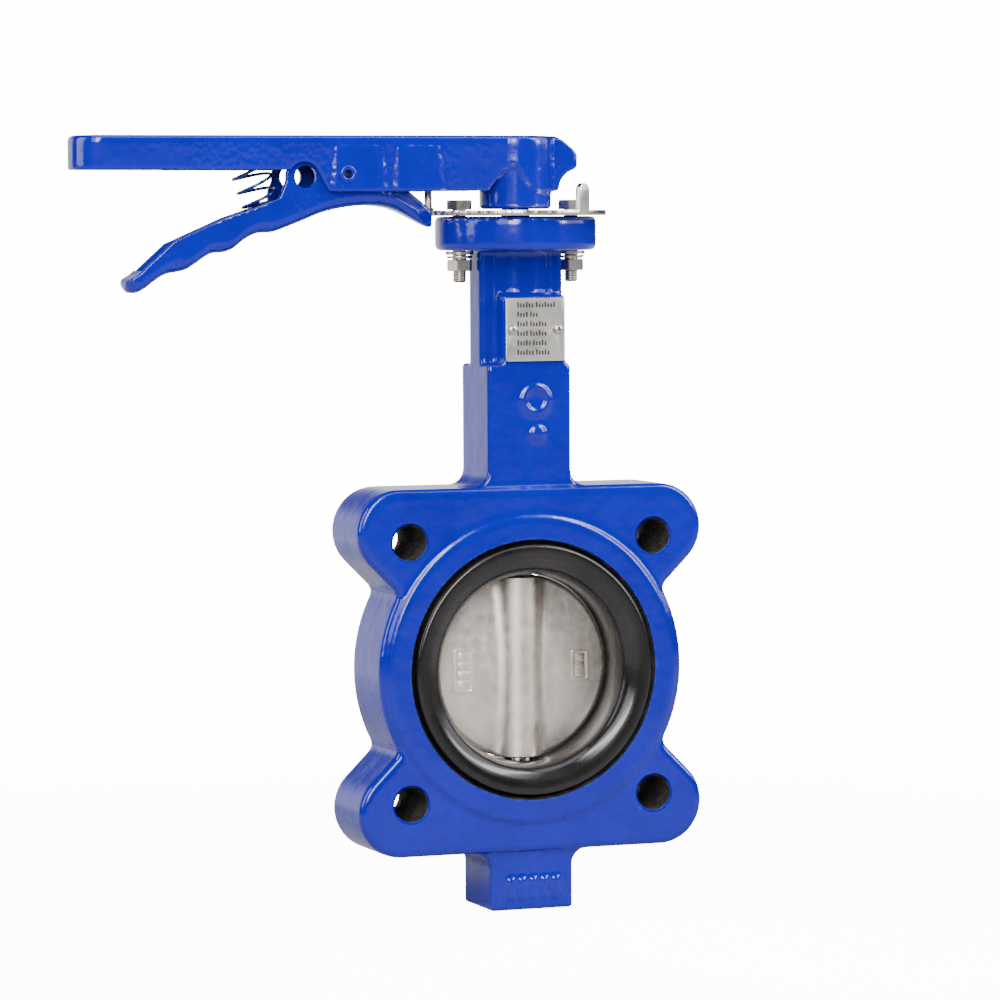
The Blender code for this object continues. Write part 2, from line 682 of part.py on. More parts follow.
def make_lever(paint: bpy.types.Material, stem_axis: bpy.types.Object) -> None:
    """The cast lever: an open-bottomed channel with a solid head, a hub boss and a rear beak."""
    low = DEEP_EDGE - 2 * MM
    lever = rounded(plate(lever_plan(0.0, 0.0), low, LEVER_TOP), 2.4 * MM)
    head = rounded(cylinder(HEAD_RADIUS, low, LEVER_TOP - 0.05 * MM), 2.4 * MM)
    beak = rounded(block((-5 * MM, -8 * MM, low), (26.8 * MM, 8 * MM, LEVER_TOP - 0.1 * MM)), 2.4 * MM)
    join(lever, head, beak)
    boolean(lever, plate(lever_silhouette(), -30 * MM, 30 * MM, "Y"), "INTERSECT")
    cut(lever, plate(lever_plan(LEVER_WALL, -18 * MM), low - 5 * MM, LEVER_TOP - LEVER_ROOF))
    hub = rounded(cylinder(HUB_RADIUS, HUB_BOTTOM, RECESS_FLOOR - 1 * MM, sides=36), 1.0 * MM, 1)
    join(lever, hub)
    half = STEM_SQUARE / 2 + GAP
    cut(
        lever,
        block((-half, -half, HUB_BOTTOM - 2 * MM), (half, half, RECESS_FLOOR + 1 * MM)),
        cylinder(RECESS_RADIUS, RECESS_FLOOR, LEVER_TOP + 2 * MM, sides=24),
        cylinder(PIVOT_HOLE, -20 * MM, 20 * MM, "Y", (PIVOT.x, PIVOT.z), 20),
    )
    finish(lever, "lever", paint, parent=stem_axis)


def make_lever_screw(steel: bpy.types.Material, stem_axis: bpy.types.Object) -> None:
    """The screw and washer sunk in the lever's head, which hold it down on the stem's square."""
    washer_low = RECESS_FLOOR + GAP
    washer = sleeve(M6 / 2, RECESS_RADIUS - 0.6 * MM, washer_low, washer_low + WASHER_THICK)
    finish(washer, "lever_washer", steel, parent=stem_axis)
    seat = washer_low + WASHER_THICK + GAP
    screw = hexagon(8 * MM, seat, seat + 3.2 * MM)
    join(screw, cylinder(2.3 * MM, STEM_TOP - 12 * MM, seat + 1 * MM, sides=16))
    finish(screw, "lever_screw", steel, parent=stem_axis)


# ---------------------------------------------------------------- trigger, pivot pin and spring


def finger_line(lift: float) -> list:
    """The waved underside of the trigger from its tail to its nose, raised by a lift."""
    knots = [(-177.6, 166.2), (-174.4, 164.7), (-170.0, 166.4), (-165.6, 169.6), (-160.6, 172.6),
             (-155.6, 173.6), (-151.2, 174.6), (-146.7, 177.4), (-140.5, 181.2), (-135.0, 181.8),
             (-130.6, 183.4), (-126.1, 187.0), (-120.5, 189.8), (-114.3, 190.2), (-109.8, 191.5),
             (-99.7, 195.3), (-91.3, 198.5), (-82.3, 200.5), (-73.2, 201.5), (-66.0, 201.4),
             (-59.6, 200.4), (-54.1, 198.5), (-47.7, 195.3)]
    return [(x, z + lift) for x, z in smooth_line(in_metres(knots), 2)]


def trigger_silhouette() -> list:
    """The trigger's side view: grip, padlock eye, pivot boss and the arm down to the latch nose."""
    eye = arc(LOCK_EYE, LOCK_EYE_RADIUS, 20.0, 190.0)
    boss = arc((PIVOT.x, PIVOT.z), 6.2 * MM, 40.0, 150.0)
    nose = in_metres([(-42.6, 192.7), (-40.2, 191.9), (-39.0, 192.8), (-39.0, 199.0)])
    top = in_metres([(-44.6, 203.3), (-51.0, 207.7), (-64.0, 212.5)])
    grip = in_metres([(-111.3, 204.8), (-122.1, 200.6), (-131.6, 197.6), (-144.9, 192.0), (-157.3, 186.6),
                      (-165.4, 179.4), (-172.6, 172.9), (-176.6, 170.6), (-178.6, 168.2)])
    return finger_line(0.0) + nose + top + boss + eye + grip


def trigger_plan() -> list:
    """The trigger seen from above: wide at the eyes, narrower along the grip and at the latch nose."""
    wide = TRIGGER_HALF_WIDTH / MM
    grip = GRIP_HALF_WIDTH / MM
    end = 4.5
    side = in_metres([(-38.0, 1.7), (-44.0, 3.2), (-50.0, 5.4), (-58.0, 8.4), (-68.0, wide), (-125.5, wide),
                      (-132.0, grip)])
    side += arc((-174.2 * MM, GRIP_HALF_WIDTH - end * MM), end * MM, 90.0, 180.0)
    return side + [(x, -y) for x, y in reversed(side)]


def make_trigger(paint: bpy.types.Material, trigger_axis: bpy.types.Object) -> None:
    """The squeeze trigger: a channel open upwards, with a padlock eye in each side wall."""
    trigger = plate(trigger_silhouette(), -TRIGGER_HALF_WIDTH, TRIGGER_HALF_WIDTH, "Y")
    rounded(trigger, 1.6 * MM, 2, 60.0)
    boolean(trigger, plate(trigger_plan(), 150 * MM, 240 * MM), "INTERSECT")
    hollows = (
        (GRIP_HALF_WIDTH, -172.0 * MM, -100.0 * MM),
        (TRIGGER_HALF_WIDTH, -124.5 * MM, -57.0 * MM),
    )
    for half, tail, head in hollows:
        floor = [(x, z) for x, z in finger_line(TRIGGER_FLOOR) if tail < x < head]
        hollow = floor + [(floor[-1][0], 240 * MM), (floor[0][0], 240 * MM)]
        inside = half - TRIGGER_WALL
        cut(trigger, plate(hollow, -inside, inside, "Y"))
    cut(
        trigger,
        cylinder(LOCK_HOLE, -20 * MM, 20 * MM, "Y", LOCK_EYE, 24),
        cylinder(PIVOT_HOLE, -20 * MM, 20 * MM, "Y", (PIVOT.x, PIVOT.z), 20),
    )
    finish(trigger, "trigger", paint, PIVOT, trigger_axis)


def make_pivot_pin(steel: bpy.types.Material, stem_axis: bpy.types.Object) -> None:
    """The tubular rivet that the trigger turns on, with a small flared head outside each lever wall."""
    outer = LEVER_HALF_WIDTH + GAP
    tube = turned([(2.2 * MM, outer + 0.8 * MM), (3.5 * MM, outer + 0.6 * MM), (3.5 * MM, outer),
                   (PIVOT_SHANK, outer), (PIVOT_SHANK, -outer), (3.5 * MM, -outer),
                   (3.5 * MM, -outer - 0.6 * MM), (2.2 * MM, -outer - 0.8 * MM)], "Y", 24)
    tube.data.transform(Matrix.Translation(PIVOT))
    finish(tube, "trigger_pivot_pin", steel, PIVOT, stem_axis)


def spring_points() -> list:
    """The centre line of the helix, closed up over its first and last turns."""
    steps = 12
    total = SPRING_TURNS * steps
    lean = Matrix.Rotation(-SPRING_TILT, 4, "Y")
    wire_pitch = 2 * SPRING_WIRE + 0.35 * MM
    free = (SPRING_LENGTH - 2 * wire_pitch) / (SPRING_TURNS - 2)
    points = []
    for index in range(total + 1):
        turns = index / steps
        climb = wire_pitch * min(turns, 1.0) + free * min(max(turns - 1.0, 0.0), SPRING_TURNS - 2)
        climb += wire_pitch * max(turns - SPRING_TURNS + 1, 0.0)
        angle = SPRING_START + 2 * math.pi * turns
        local = Vector((SPRING_MEAN * math.cos(angle), SPRING_MEAN * math.sin(angle), climb))
        points.append(SPRING_FOOT + lean @ local)
    return points


def make_spring(paint: bpy.types.Material, stem_axis: bpy.types.Object) -> None:
    """The compression spring between the trigger's floor and the lever's roof."""
    curve = bpy.data.curves.new("trigger_spring", "CURVE")
    curve.dimensions = "3D"
    curve.bevel_depth = SPRING_WIRE
    curve.bevel_resolution = 1
    curve.use_fill_caps = True
    spline = curve.splines.new("POLY")
    points = spring_points()
    spline.points.add(len(points) - 1)
    for point, place in zip(spline.points, points):
        point.co = (*(place - stem_axis.location), 1.0)
    curve.materials.append(paint)
    spring = bpy.data.objects.new("trigger_spring", curve)
    spring.parent = stem_axis
    bpy.data.collections["butterfly_valve"].objects.link(spring)


# ---------------------------------------------------------------- the whole valve


def clear_scene() -> None:
    """Removes what the scene holds at the start."""
    for found in list(bpy.data.objects):
        bpy.data.objects.remove(found)


def add_axis(name: str, place: Vector, parent: bpy.types.Object | None = None) -> bpy.types.Object:
    """An empty on a joint's axis, for the pieces that turn about it."""
    axis = bpy.data.objects.new(name, None)
    axis.empty_display_size = 20 * MM
    axis.location = place
    axis.parent = parent
    bpy.data.collections["butterfly_valve"].objects.link(axis)
    return axis


def main() -> None:
    """Builds every piece of the valve."""
    clear_scene()
    make_collection("butterfly_valve")
    workshop = make_collection("workshop")
    paint = make_material("blue_enamel", (0.0, 0.028, 0.58), 0.18, 0.0)
    spring_paint = make_material("spring_enamel", (0.0, 0.015, 0.22), 0.3, 0.0)
    rubber = make_material("seat_rubber", (0.03, 0.032, 0.036), 0.42, 0.0)
    cast_steel = make_material("cast_stainless", (0.46, 0.42, 0.39), 0.42, 1.0)
    stainless = make_material("stainless", (0.60, 0.58, 0.55), 0.28, 1.0)
    polymer = make_material("bush_polymer", (0.75, 0.74, 0.70), 0.5, 0.0)

    stem_axis = add_axis("stem_axis", Vector((0, 0, 0)))
    trigger_axis = add_axis("trigger_axis", PIVOT.copy(), stem_axis)

    make_body(paint)
    make_liner(rubber)
    make_disc(cast_steel, stem_axis)
    make_stems(stainless, stem_axis)
    make_bushes(polymer, rubber)
    make_circlip(stainless, stem_axis)
    make_plate(stainless)
    make_flange_fasteners(stainless)
    make_name_plate(stainless)
    make_lever(paint, stem_axis)
    make_lever_screw(stainless, stem_axis)
    make_trigger(paint, trigger_axis)
    make_pivot_pin(paint, stem_axis)
    make_spring(spring_paint, stem_axis)
    bpy.data.collections.remove(workshop)


if __name__ == "__main__":
    main()
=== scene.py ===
"""Lever-operated lug butterfly valve: the final meshes and finishes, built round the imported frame.

Every length is in metres; MM turns the sizes from millimetres. The origin is the centre of the bore,
+Z runs up the stem, -Y is the side of the name plate and the closed lever points along -X.
"""

from __future__ import annotations

import json
import logging
import math
from dataclasses import dataclass, field
from enum import Enum
from typing import Any, Iterable, Sequence

import bmesh
import bpy
from mathutils import Matrix, Vector

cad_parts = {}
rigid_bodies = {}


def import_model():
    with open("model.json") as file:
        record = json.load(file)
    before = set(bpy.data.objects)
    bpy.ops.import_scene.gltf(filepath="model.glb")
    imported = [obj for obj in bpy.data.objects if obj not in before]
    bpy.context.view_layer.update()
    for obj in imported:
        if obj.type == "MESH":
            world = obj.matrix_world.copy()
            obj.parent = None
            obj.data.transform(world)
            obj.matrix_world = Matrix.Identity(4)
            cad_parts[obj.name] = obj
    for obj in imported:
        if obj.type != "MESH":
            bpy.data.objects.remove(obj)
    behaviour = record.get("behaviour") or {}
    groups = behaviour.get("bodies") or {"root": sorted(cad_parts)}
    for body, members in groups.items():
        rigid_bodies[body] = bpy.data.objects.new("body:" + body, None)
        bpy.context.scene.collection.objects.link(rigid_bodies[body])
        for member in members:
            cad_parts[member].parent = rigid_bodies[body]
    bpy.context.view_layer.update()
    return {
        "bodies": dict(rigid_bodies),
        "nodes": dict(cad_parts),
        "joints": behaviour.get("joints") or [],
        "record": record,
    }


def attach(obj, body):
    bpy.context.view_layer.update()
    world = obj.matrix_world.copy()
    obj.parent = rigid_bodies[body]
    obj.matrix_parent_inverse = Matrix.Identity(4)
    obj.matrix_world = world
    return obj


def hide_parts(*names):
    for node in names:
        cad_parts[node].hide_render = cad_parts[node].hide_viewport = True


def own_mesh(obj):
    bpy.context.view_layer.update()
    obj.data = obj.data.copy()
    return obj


MM = 0.001
LOG = logging.getLogger("butterfly_valve")

Pair = tuple[float, float]
Triple = tuple[float, float, float]
Outline = list[Pair]


class Axis(Enum):
    """The direction a shape is extruded along or turned round."""

    Y = "Y"
    Z = "Z"


class Combine(Enum):
    """How a tool changes the piece it is applied to."""

    ADD = "UNION"
    CUT = "DIFFERENCE"
    KEEP = "INTERSECT"


class Carrier(Enum):
    """The rigid bodies that pieces ride on."""

    VALVE = "valve"
    STEM_LINE = "stem_line"
    TRIGGER = "trigger"


# ---------------------------------------------------------------- outlines


def millimetres(points: Iterable[Pair]) -> Outline:
    """Scales pairs given in millimetres to metres.

    Args:
        points: pairs in millimetres.

    Returns:
        The same pairs in metres.
    """
    return [(u * MM, v * MM) for u, v in points]


def arc(centre: Pair, radius: float, start: float, end: float, step: float = 4.0) -> Outline:
    """Points along an arc.

    Args:
        centre: the arc's centre.
        radius: its radius.
        start: its first angle in degrees.
        end: its last angle in degrees.
        step: the largest angle between points, in degrees.

    Returns:
        The points, both ends included.
    """
    count = max(2, math.ceil(abs(end - start) / step))
    angles = [math.radians(start + (end - start) * i / count) for i in range(count + 1)]
    return [(centre[0] + radius * math.cos(a), centre[1] + radius * math.sin(a)) for a in angles]


def flowing(knots: Sequence[Pair], per_span: int = 5) -> Outline:
    """Points on a Catmull-Rom curve through the knots.

    Args:
        knots: the points the curve passes through.
        per_span: how many points are set between two knots.

    Returns:
        The points along the curve.
    """
    padded = [knots[0], *knots, knots[-1]]
    points: Outline = []
    for a, b, c, d in zip(padded, padded[1:], padded[2:], padded[3:]):
        for step in range(per_span):
            t = step / per_span
            points.append(tuple(
                0.5 * (2 * q + (r - p) * t + (2 * p - 5 * q + 4 * r - s) * t * t
                       + (3 * q - p - 3 * r + s) * t ** 3)
                for p, q, r, s in zip(a, b, c, d)
            ))
    points.append(tuple(knots[-1]))
    return points


def mirrored(points: Sequence[Pair]) -> Outline:
    """The points, followed by their mirror image across the first axis."""
    return list(points) + [(u, -v) for u, v in reversed(points)]


def rounded_rectangle(half_wide: float, half_tall: float, corner: float,
                      centre: Pair = (0.0, 0.0)) -> Outline:
    """A rectangle with round corners.

    Args:
        half_wide: half its width.
        half_tall: half its height.
        corner: the radius of its corners.
        centre: its middle.

    Returns:
        The closed outline.
    """
    points: Outline = []
    for u, v, start in ((1, 1, 0.0), (-1, 1, 90.0), (-1, -1, 180.0), (1, -1, 270.0)):
        middle = (centre[0] + u * (half_wide - corner), centre[1] + v * (half_tall - corner))
        points += arc(middle, corner, start, start + 90.0, 15.0)
    return points


# ---------------------------------------------------------------- mesh tools


def new_piece(name: str, shape: bmesh.types.BMesh) -> bpy.types.Object:
    """Turns a bmesh into an object in the scene.

    Args:
        name: the object's name.
        shape: the bmesh, which is freed.

    Returns:
        The new object.
    """
    bmesh.ops.recalc_face_normals(shape, faces=shape.faces)
    mesh = bpy.data.meshes.new(name)
    shape.to_mesh(mesh)
    shape.free()
    piece = bpy.data.objects.new(name, mesh)
    bpy.context.scene.collection.objects.link(piece)
    return piece


def stood(shape: bmesh.types.BMesh, axis: Axis, at: Pair) -> bmesh.types.BMesh:
    """Stands a shape that was made round Z on the axis it is meant for.

    Args:
        shape: the shape.
        axis: its final axis.
        at: where the axis stands, on the other two axes.

    Returns:
        The same shape.
    """
    if axis is Axis.Y:
        place = Matrix.Translation((at[0], 0, at[1]))
        shape.transform(place @ Matrix.Rotation(math.radians(-90), 4, "X"))
    else:
        shape.transform(Matrix.Translation((at[0], at[1], 0)))
    return shape


def settle(piece: bpy.types.Object) -> bpy.types.Object:
    """Applies a piece's modifiers to its mesh.

    Args:
        piece: the piece.

    Returns:
        The same piece.
    """
    graph = bpy.context.evaluated_depsgraph_get()
    mesh = bpy.data.meshes.new_from_object(piece.evaluated_get(graph))
    piece.modifiers.clear()
    old = piece.data
    piece.data = mesh
    bpy.data.meshes.remove(old)
    return piece


def block(low: Triple, high: Triple) -> bpy.types.Object:
    """A box between two corners.

    Args:
        low: the corner with the least coordinates.
        high: the corner with the greatest.

    Returns:
        The box.
    """
    shape = bmesh.new()
    bmesh.ops.create_cube(shape, size=1.0)
    size = [b - a for a, b in zip(low, high)]
    centre = [(a + b) / 2 for a, b in zip(low, high)]
    shape.transform(Matrix.Translation(centre) @ Matrix.Diagonal((*size, 1.0)))
    return new_piece("block", shape)


def turned(profile: Sequence[Pair], axis: Axis = Axis.Z, steps: int = 96,
           at: Pair = (0.0, 0.0)) -> bpy.types.Object:
    """A closed profile turned round an axis.

    Args:
        profile: (radius, height) pairs; a radius of zero lies on the axis.
        axis: the axis it is turned round.
        steps: how many steps make the full turn.
        at: where the axis stands, on the other two axes.

    Returns:
        The solid of revolution.
    """
    shape = bmesh.new()
    rings = []
    for radius, height in profile:
        if radius == 0.0:
            rings.append([shape.verts.new((0.0, 0.0, height))])
            continue
        rings.append([shape.verts.new((radius * math.cos(2 * math.pi * i / steps),
                                       radius * math.sin(2 * math.pi * i / steps), height))
                      for i in range(steps)])
    for here, there in zip(rings, rings[1:] + rings[:1]):
        if len(here) == 1 and len(there) == 1:
            continue
        for i in range(steps):
            j = (i + 1) % steps
            corners = [here[i % len(here)], here[j % len(here)], there[j % len(there)], there[i % len(there)]]
            shape.faces.new(list(dict.fromkeys(corners)))
    return new_piece("turned", stood(shape, axis, at))


def cylinder(radius: float, low: float, high: float, axis: Axis = Axis.Z, at: Pair = (0.0, 0.0),
             steps: int = 64) -> bpy.types.Object:
    """A plain round bar from low to high along an axis."""
    return turned([(0.0, low), (radius, low), (radius, high), (0.0, high)], axis, steps, at)


def flat_ring(inner: float, outer: float, low: float, high: float, steps: int = 96) -> bpy.types.Object:
    """A washer with eased outer edges.

    Args:
        inner: the radius of its hole.
        outer: its outer radius.
        low: its underside.
        high: its top.
        steps: how many steps make the full turn.

    Returns:
        The washer.
    """
    soft = 0.25 * MM
    return turned([(inner, low), (outer - soft, low), (outer, low + soft), (outer, high - soft),
                   (outer - soft, high), (inner, high)], steps=steps)


def extruded(points: Sequence[Pair], low: float, high: float, normal: Axis = Axis.Z) -> bpy.types.Object:
    """A flat outline thickened along its normal.

    Args:
        points: the outline, as (x, y) pairs for a Z normal or (x, z) pairs for a Y normal.
        low: where the thickness starts.
        high: where it ends.
        normal: the direction of the thickness.

    Returns:
        The closed plate.
    """
    shape = bmesh.new()
    floor = [shape.verts.new((u, v, 0.0)) for u, v in points]
    face = shape.faces.new(floor)
    raised = bmesh.ops.extrude_face_region(shape, geom=[face])
    lifted = [item for item in raised["geom"] if isinstance(item, bmesh.types.BMVert)]
    bmesh.ops.translate(shape, verts=lifted, vec=(0, 0, high - low))
    if normal is Axis.Y:
        shape.transform(Matrix.Translation((0, high, 0)) @ Matrix.Rotation(math.radians(90), 4, "X"))
    else:
        shape.transform(Matrix.Translation((0, 0, low)))
    return new_piece("extruded", shape)


def eased(piece: bpy.types.Object, width: float, segments: int = 3, angle: float = 35.0) -> bpy.types.Object:
    """Rounds the edges that are sharper than an angle.

    Args:
        piece: the piece to round.
        width: the width of the rounding.
        segments: how many faces make it.
        angle: the least angle, in degrees, of an edge that is rounded.

    Returns:
        The same piece.
    """
    bevel = piece.modifiers.new("Ease", "BEVEL")
    bevel.width = width
    bevel.segments = segments
    bevel.limit_method = "ANGLE"
    bevel.angle_limit = math.radians(angle)
    bevel.use_clamp_overlap = True
    return settle(piece)


def combine(piece: bpy.types.Object, how: Combine, *tools: bpy.types.Object) -> bpy.types.Object:
    """Adds, cuts or keeps with each tool in turn; the tools are used up.

    Args:
        piece: the piece to change.
        how: what each tool does to it.
        tools: the tools.

    Returns:
        The same piece.
    """
    for tool in tools:
        change = piece.modifiers.new("Combine", "BOOLEAN")
        change.operation = how.value
        change.solver = "EXACT"
        change.material_mode = "TRANSFER"
        change.object = tool
        settle(piece)
        bpy.data.objects.remove(tool)
    return piece


def gather(*parts: bpy.types.Object) -> bpy.types.Object:
    """Puts the meshes of several objects into the first, without joining their surfaces.

    Args:
        parts: the objects, of which the first is kept.

    Returns:
        The first object.
    """
    shape = bmesh.new()
    for part in parts:
        shape.from_mesh(part.data)
    shape.to_mesh(parts[0].data)
    shape.free()
    for part in parts[1:]:
        bpy.data.objects.remove(part)
    return parts[0]


def cast_skin(piece: bpy.types.Object, grain: float, passes: int) -> bpy.types.Object:
    """Fuses a piece into one even skin and softens its edges and corners, as a casting's are.

    Args:
        piece: overlapping closed shapes.
        grain: the size of the skin's faces.
        passes: how many times it is smoothed.

    Returns:
        The same piece.
    """
    fuse = piece.modifiers.new("Fuse", "REMESH")
    fuse.mode = "VOXEL"
    fuse.voxel_size = grain
    soften = piece.modifiers.new("Soften", "SMOOTH")
    soften.factor = 0.5
    soften.iterations = passes
    return settle(piece)


def thinned(piece: bpy.types.Object, share: float) -> bpy.types.Object:
    """Drops faces where the surface is flat.

    Args:
        piece: the piece to thin.
        share: how many of its faces stay, out of 1.

    Returns:
        The same piece.
    """
    thin = piece.modifiers.new("Thin", "DECIMATE")
    thin.ratio = share
    return settle(piece)


def threaded_bar(core: float, crest: float, pitch: float, low: float, high: float, steps: int = 40,
                 axis: Axis = Axis.Z, at: Pair = (0.0, 0.0)) -> bpy.types.Object:
    """A bar with a helical V thread, which runs past both ends and is trimmed by its user.

    Args:
        core: the radius at the thread's root.
        crest: the radius at its crest.
        pitch: the rise in one turn.
        low: where the full thread starts.
        high: where it ends.
        steps: how many steps make one turn.
        axis: the bar's direction.
        at: where its axis stands, on the other two axes.

    Returns:
        The closed bar.
    """
    ridge = ((0.0, core), (0.12, core), (0.44, crest), (0.60, crest))
    spare = 3
    wide = len(ridge)
    rows = (math.ceil((high - low) / pitch) + spare) * wide
    shape = bmesh.new()
    columns = []
    for i in range(steps):
        angle = 2 * math.pi * i / steps
        heights = [low + pitch * (row // wide + ridge[row % wide][0] - 2 + i / steps) for row in range(rows)]
        columns.append([shape.verts.new((ridge[row % wide][1] * math.cos(angle),
                                         ridge[row % wide][1] * math.sin(angle), height))
                        for row, height in enumerate(heights)])
    for here, there in zip(columns, columns[1:] + [columns[0][wide:]]):
        for row in range(min(len(here), len(there)) - 1):
            shape.faces.new((here[row], there[row], there[row + 1], here[row + 1]))
    foot = [column[0] for column in columns] + columns[0][wide:0:-1]
    head = [column[-1] for column in columns] + columns[-1][-2:-wide - 2:-1]
    for rim, height in ((foot, low - spare * pitch), (head, high + spare * pitch)):
        middle = shape.verts.new((0.0, 0.0, height))
        for here, there in zip(rim, rim[1:] + rim[:1]):
            shape.faces.new((middle, here, there))
    return new_piece("threaded", stood(shape, axis, at))


def pointed_bar(radius: float, tip: float, top: float) -> bpy.types.Object:
    """The form of a bolt's end: a bar with a coned tip, just wider than its thread.

    Args:
        radius: the thread's outer radius.
        tip: where the bolt ends.
        top: where the bar starts.

    Returns:
        The bar.
    """
    wide = radius + 0.1 * MM
    point = radius * 0.72
    cone = 0.9 * MM
    return turned([(0.0, tip), (point, tip), (wide, tip + cone), (wide, top), (0.0, top)], steps=48)


def swept(path: Sequence[Vector], section: Sequence[Pair], sideways: Sequence[Vector]) -> bpy.types.Object:
    """A section carried along a path, closed at both ends.

    Args:
        path: the points it passes through.
        section: its outline, as (outward, upward) pairs.
        sideways: the outward direction at each point of the path.

    Returns:
        The closed bar.
    """
    shape = bmesh.new()
    rings = []
    for index, (place, outward) in enumerate(zip(path, sideways)):
        ahead = path[min(index + 1, len(path) - 1)] - path[max(index - 1, 0)]
        ahead.normalize()
        out = (outward - ahead * outward.dot(ahead)).normalized()
        upward = ahead.cross(out)
        rings.append([shape.verts.new(place + out * u + upward * v) for u, v in section])
    for here, there in zip(rings, rings[1:]):
        for i in range(len(section)):
            j = (i + 1) % len(section)
            shape.faces.new((here[i], here[j], there[j], there[i]))
    shape.faces.new(rings[0])
    shape.faces.new(rings[-1])
    return new_piece("swept", shape)


def hexagon(across: float, low: float, high: float, both: bool = False) -> bpy.types.Object:
    """A hexagonal prism whose corners are turned off by a cone.

    Args:
        across: the width across its flats.
        low: its underside.
        high: its top.
        both: whether the underside is coned as well as the top.

    Returns:
        The head or nut.
    """
    corner = across / 2 / math.cos(math.radians(30))
    prism = extruded([(corner * math.cos(math.radians(60 * i)), corner * math.sin(math.radians(60 * i)))
                      for i in range(6)], low, high)
    face = across / 2 * 0.96
    past = corner * 1.12
    drop = (past - face) * math.tan(math.radians(28))
    foot = [(0.0, low), (face, low), (past, low + drop)] if both else [(0.0, low), (past, low)]
    crown = turned([*foot, (past, high - drop), (face, high), (0.0, high)])
    return combine(prism, Combine.KEEP, crown)


def dress(piece: bpy.types.Object, name: str, carrier: Carrier, finish: bpy.types.Material,
          nodes: Sequence[str] = (), sharp: float = 34.0) -> bpy.types.Object:
    """Names a piece, gives it its finish and shading, and lets it ride on its body.

    Args:
        piece: the finished shape, in place.
        name: its name.
        carrier: the body it rides on.
        finish: its material, unless it holds its own already.
        nodes: the frame's nodes that it stands for.
        sharp: the least angle, in degrees, of an edge that is shaded sharp.

    Returns:
        The same piece.
    """
    piece.name = name
    piece.data.name = name
    if not [slot for slot in piece.data.materials if slot]:
        piece.data.materials.clear()
        piece.data.materials.append(finish)
    piece.data.shade_smooth()
    piece.data.set_sharp_from_angle(angle=math.radians(sharp))
    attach(piece, carrier.value)
    if nodes:
        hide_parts(*nodes)
    LOG.info("%s: %d faces on %s", name, len(piece.data.polygons), carrier.value)
    return piece


def paint(piece: bpy.types.Object, finish: bpy.types.Material) -> bpy.types.Object:
    """Gives a tool or a piece its only material.

    Args:
        piece: the tool or piece.
        finish: the material.

    Returns:
        The same tool or piece.
    """
    piece.data.materials.clear()
    piece.data.materials.append(finish)
    return piece


# ---------------------------------------------------------------- finishes


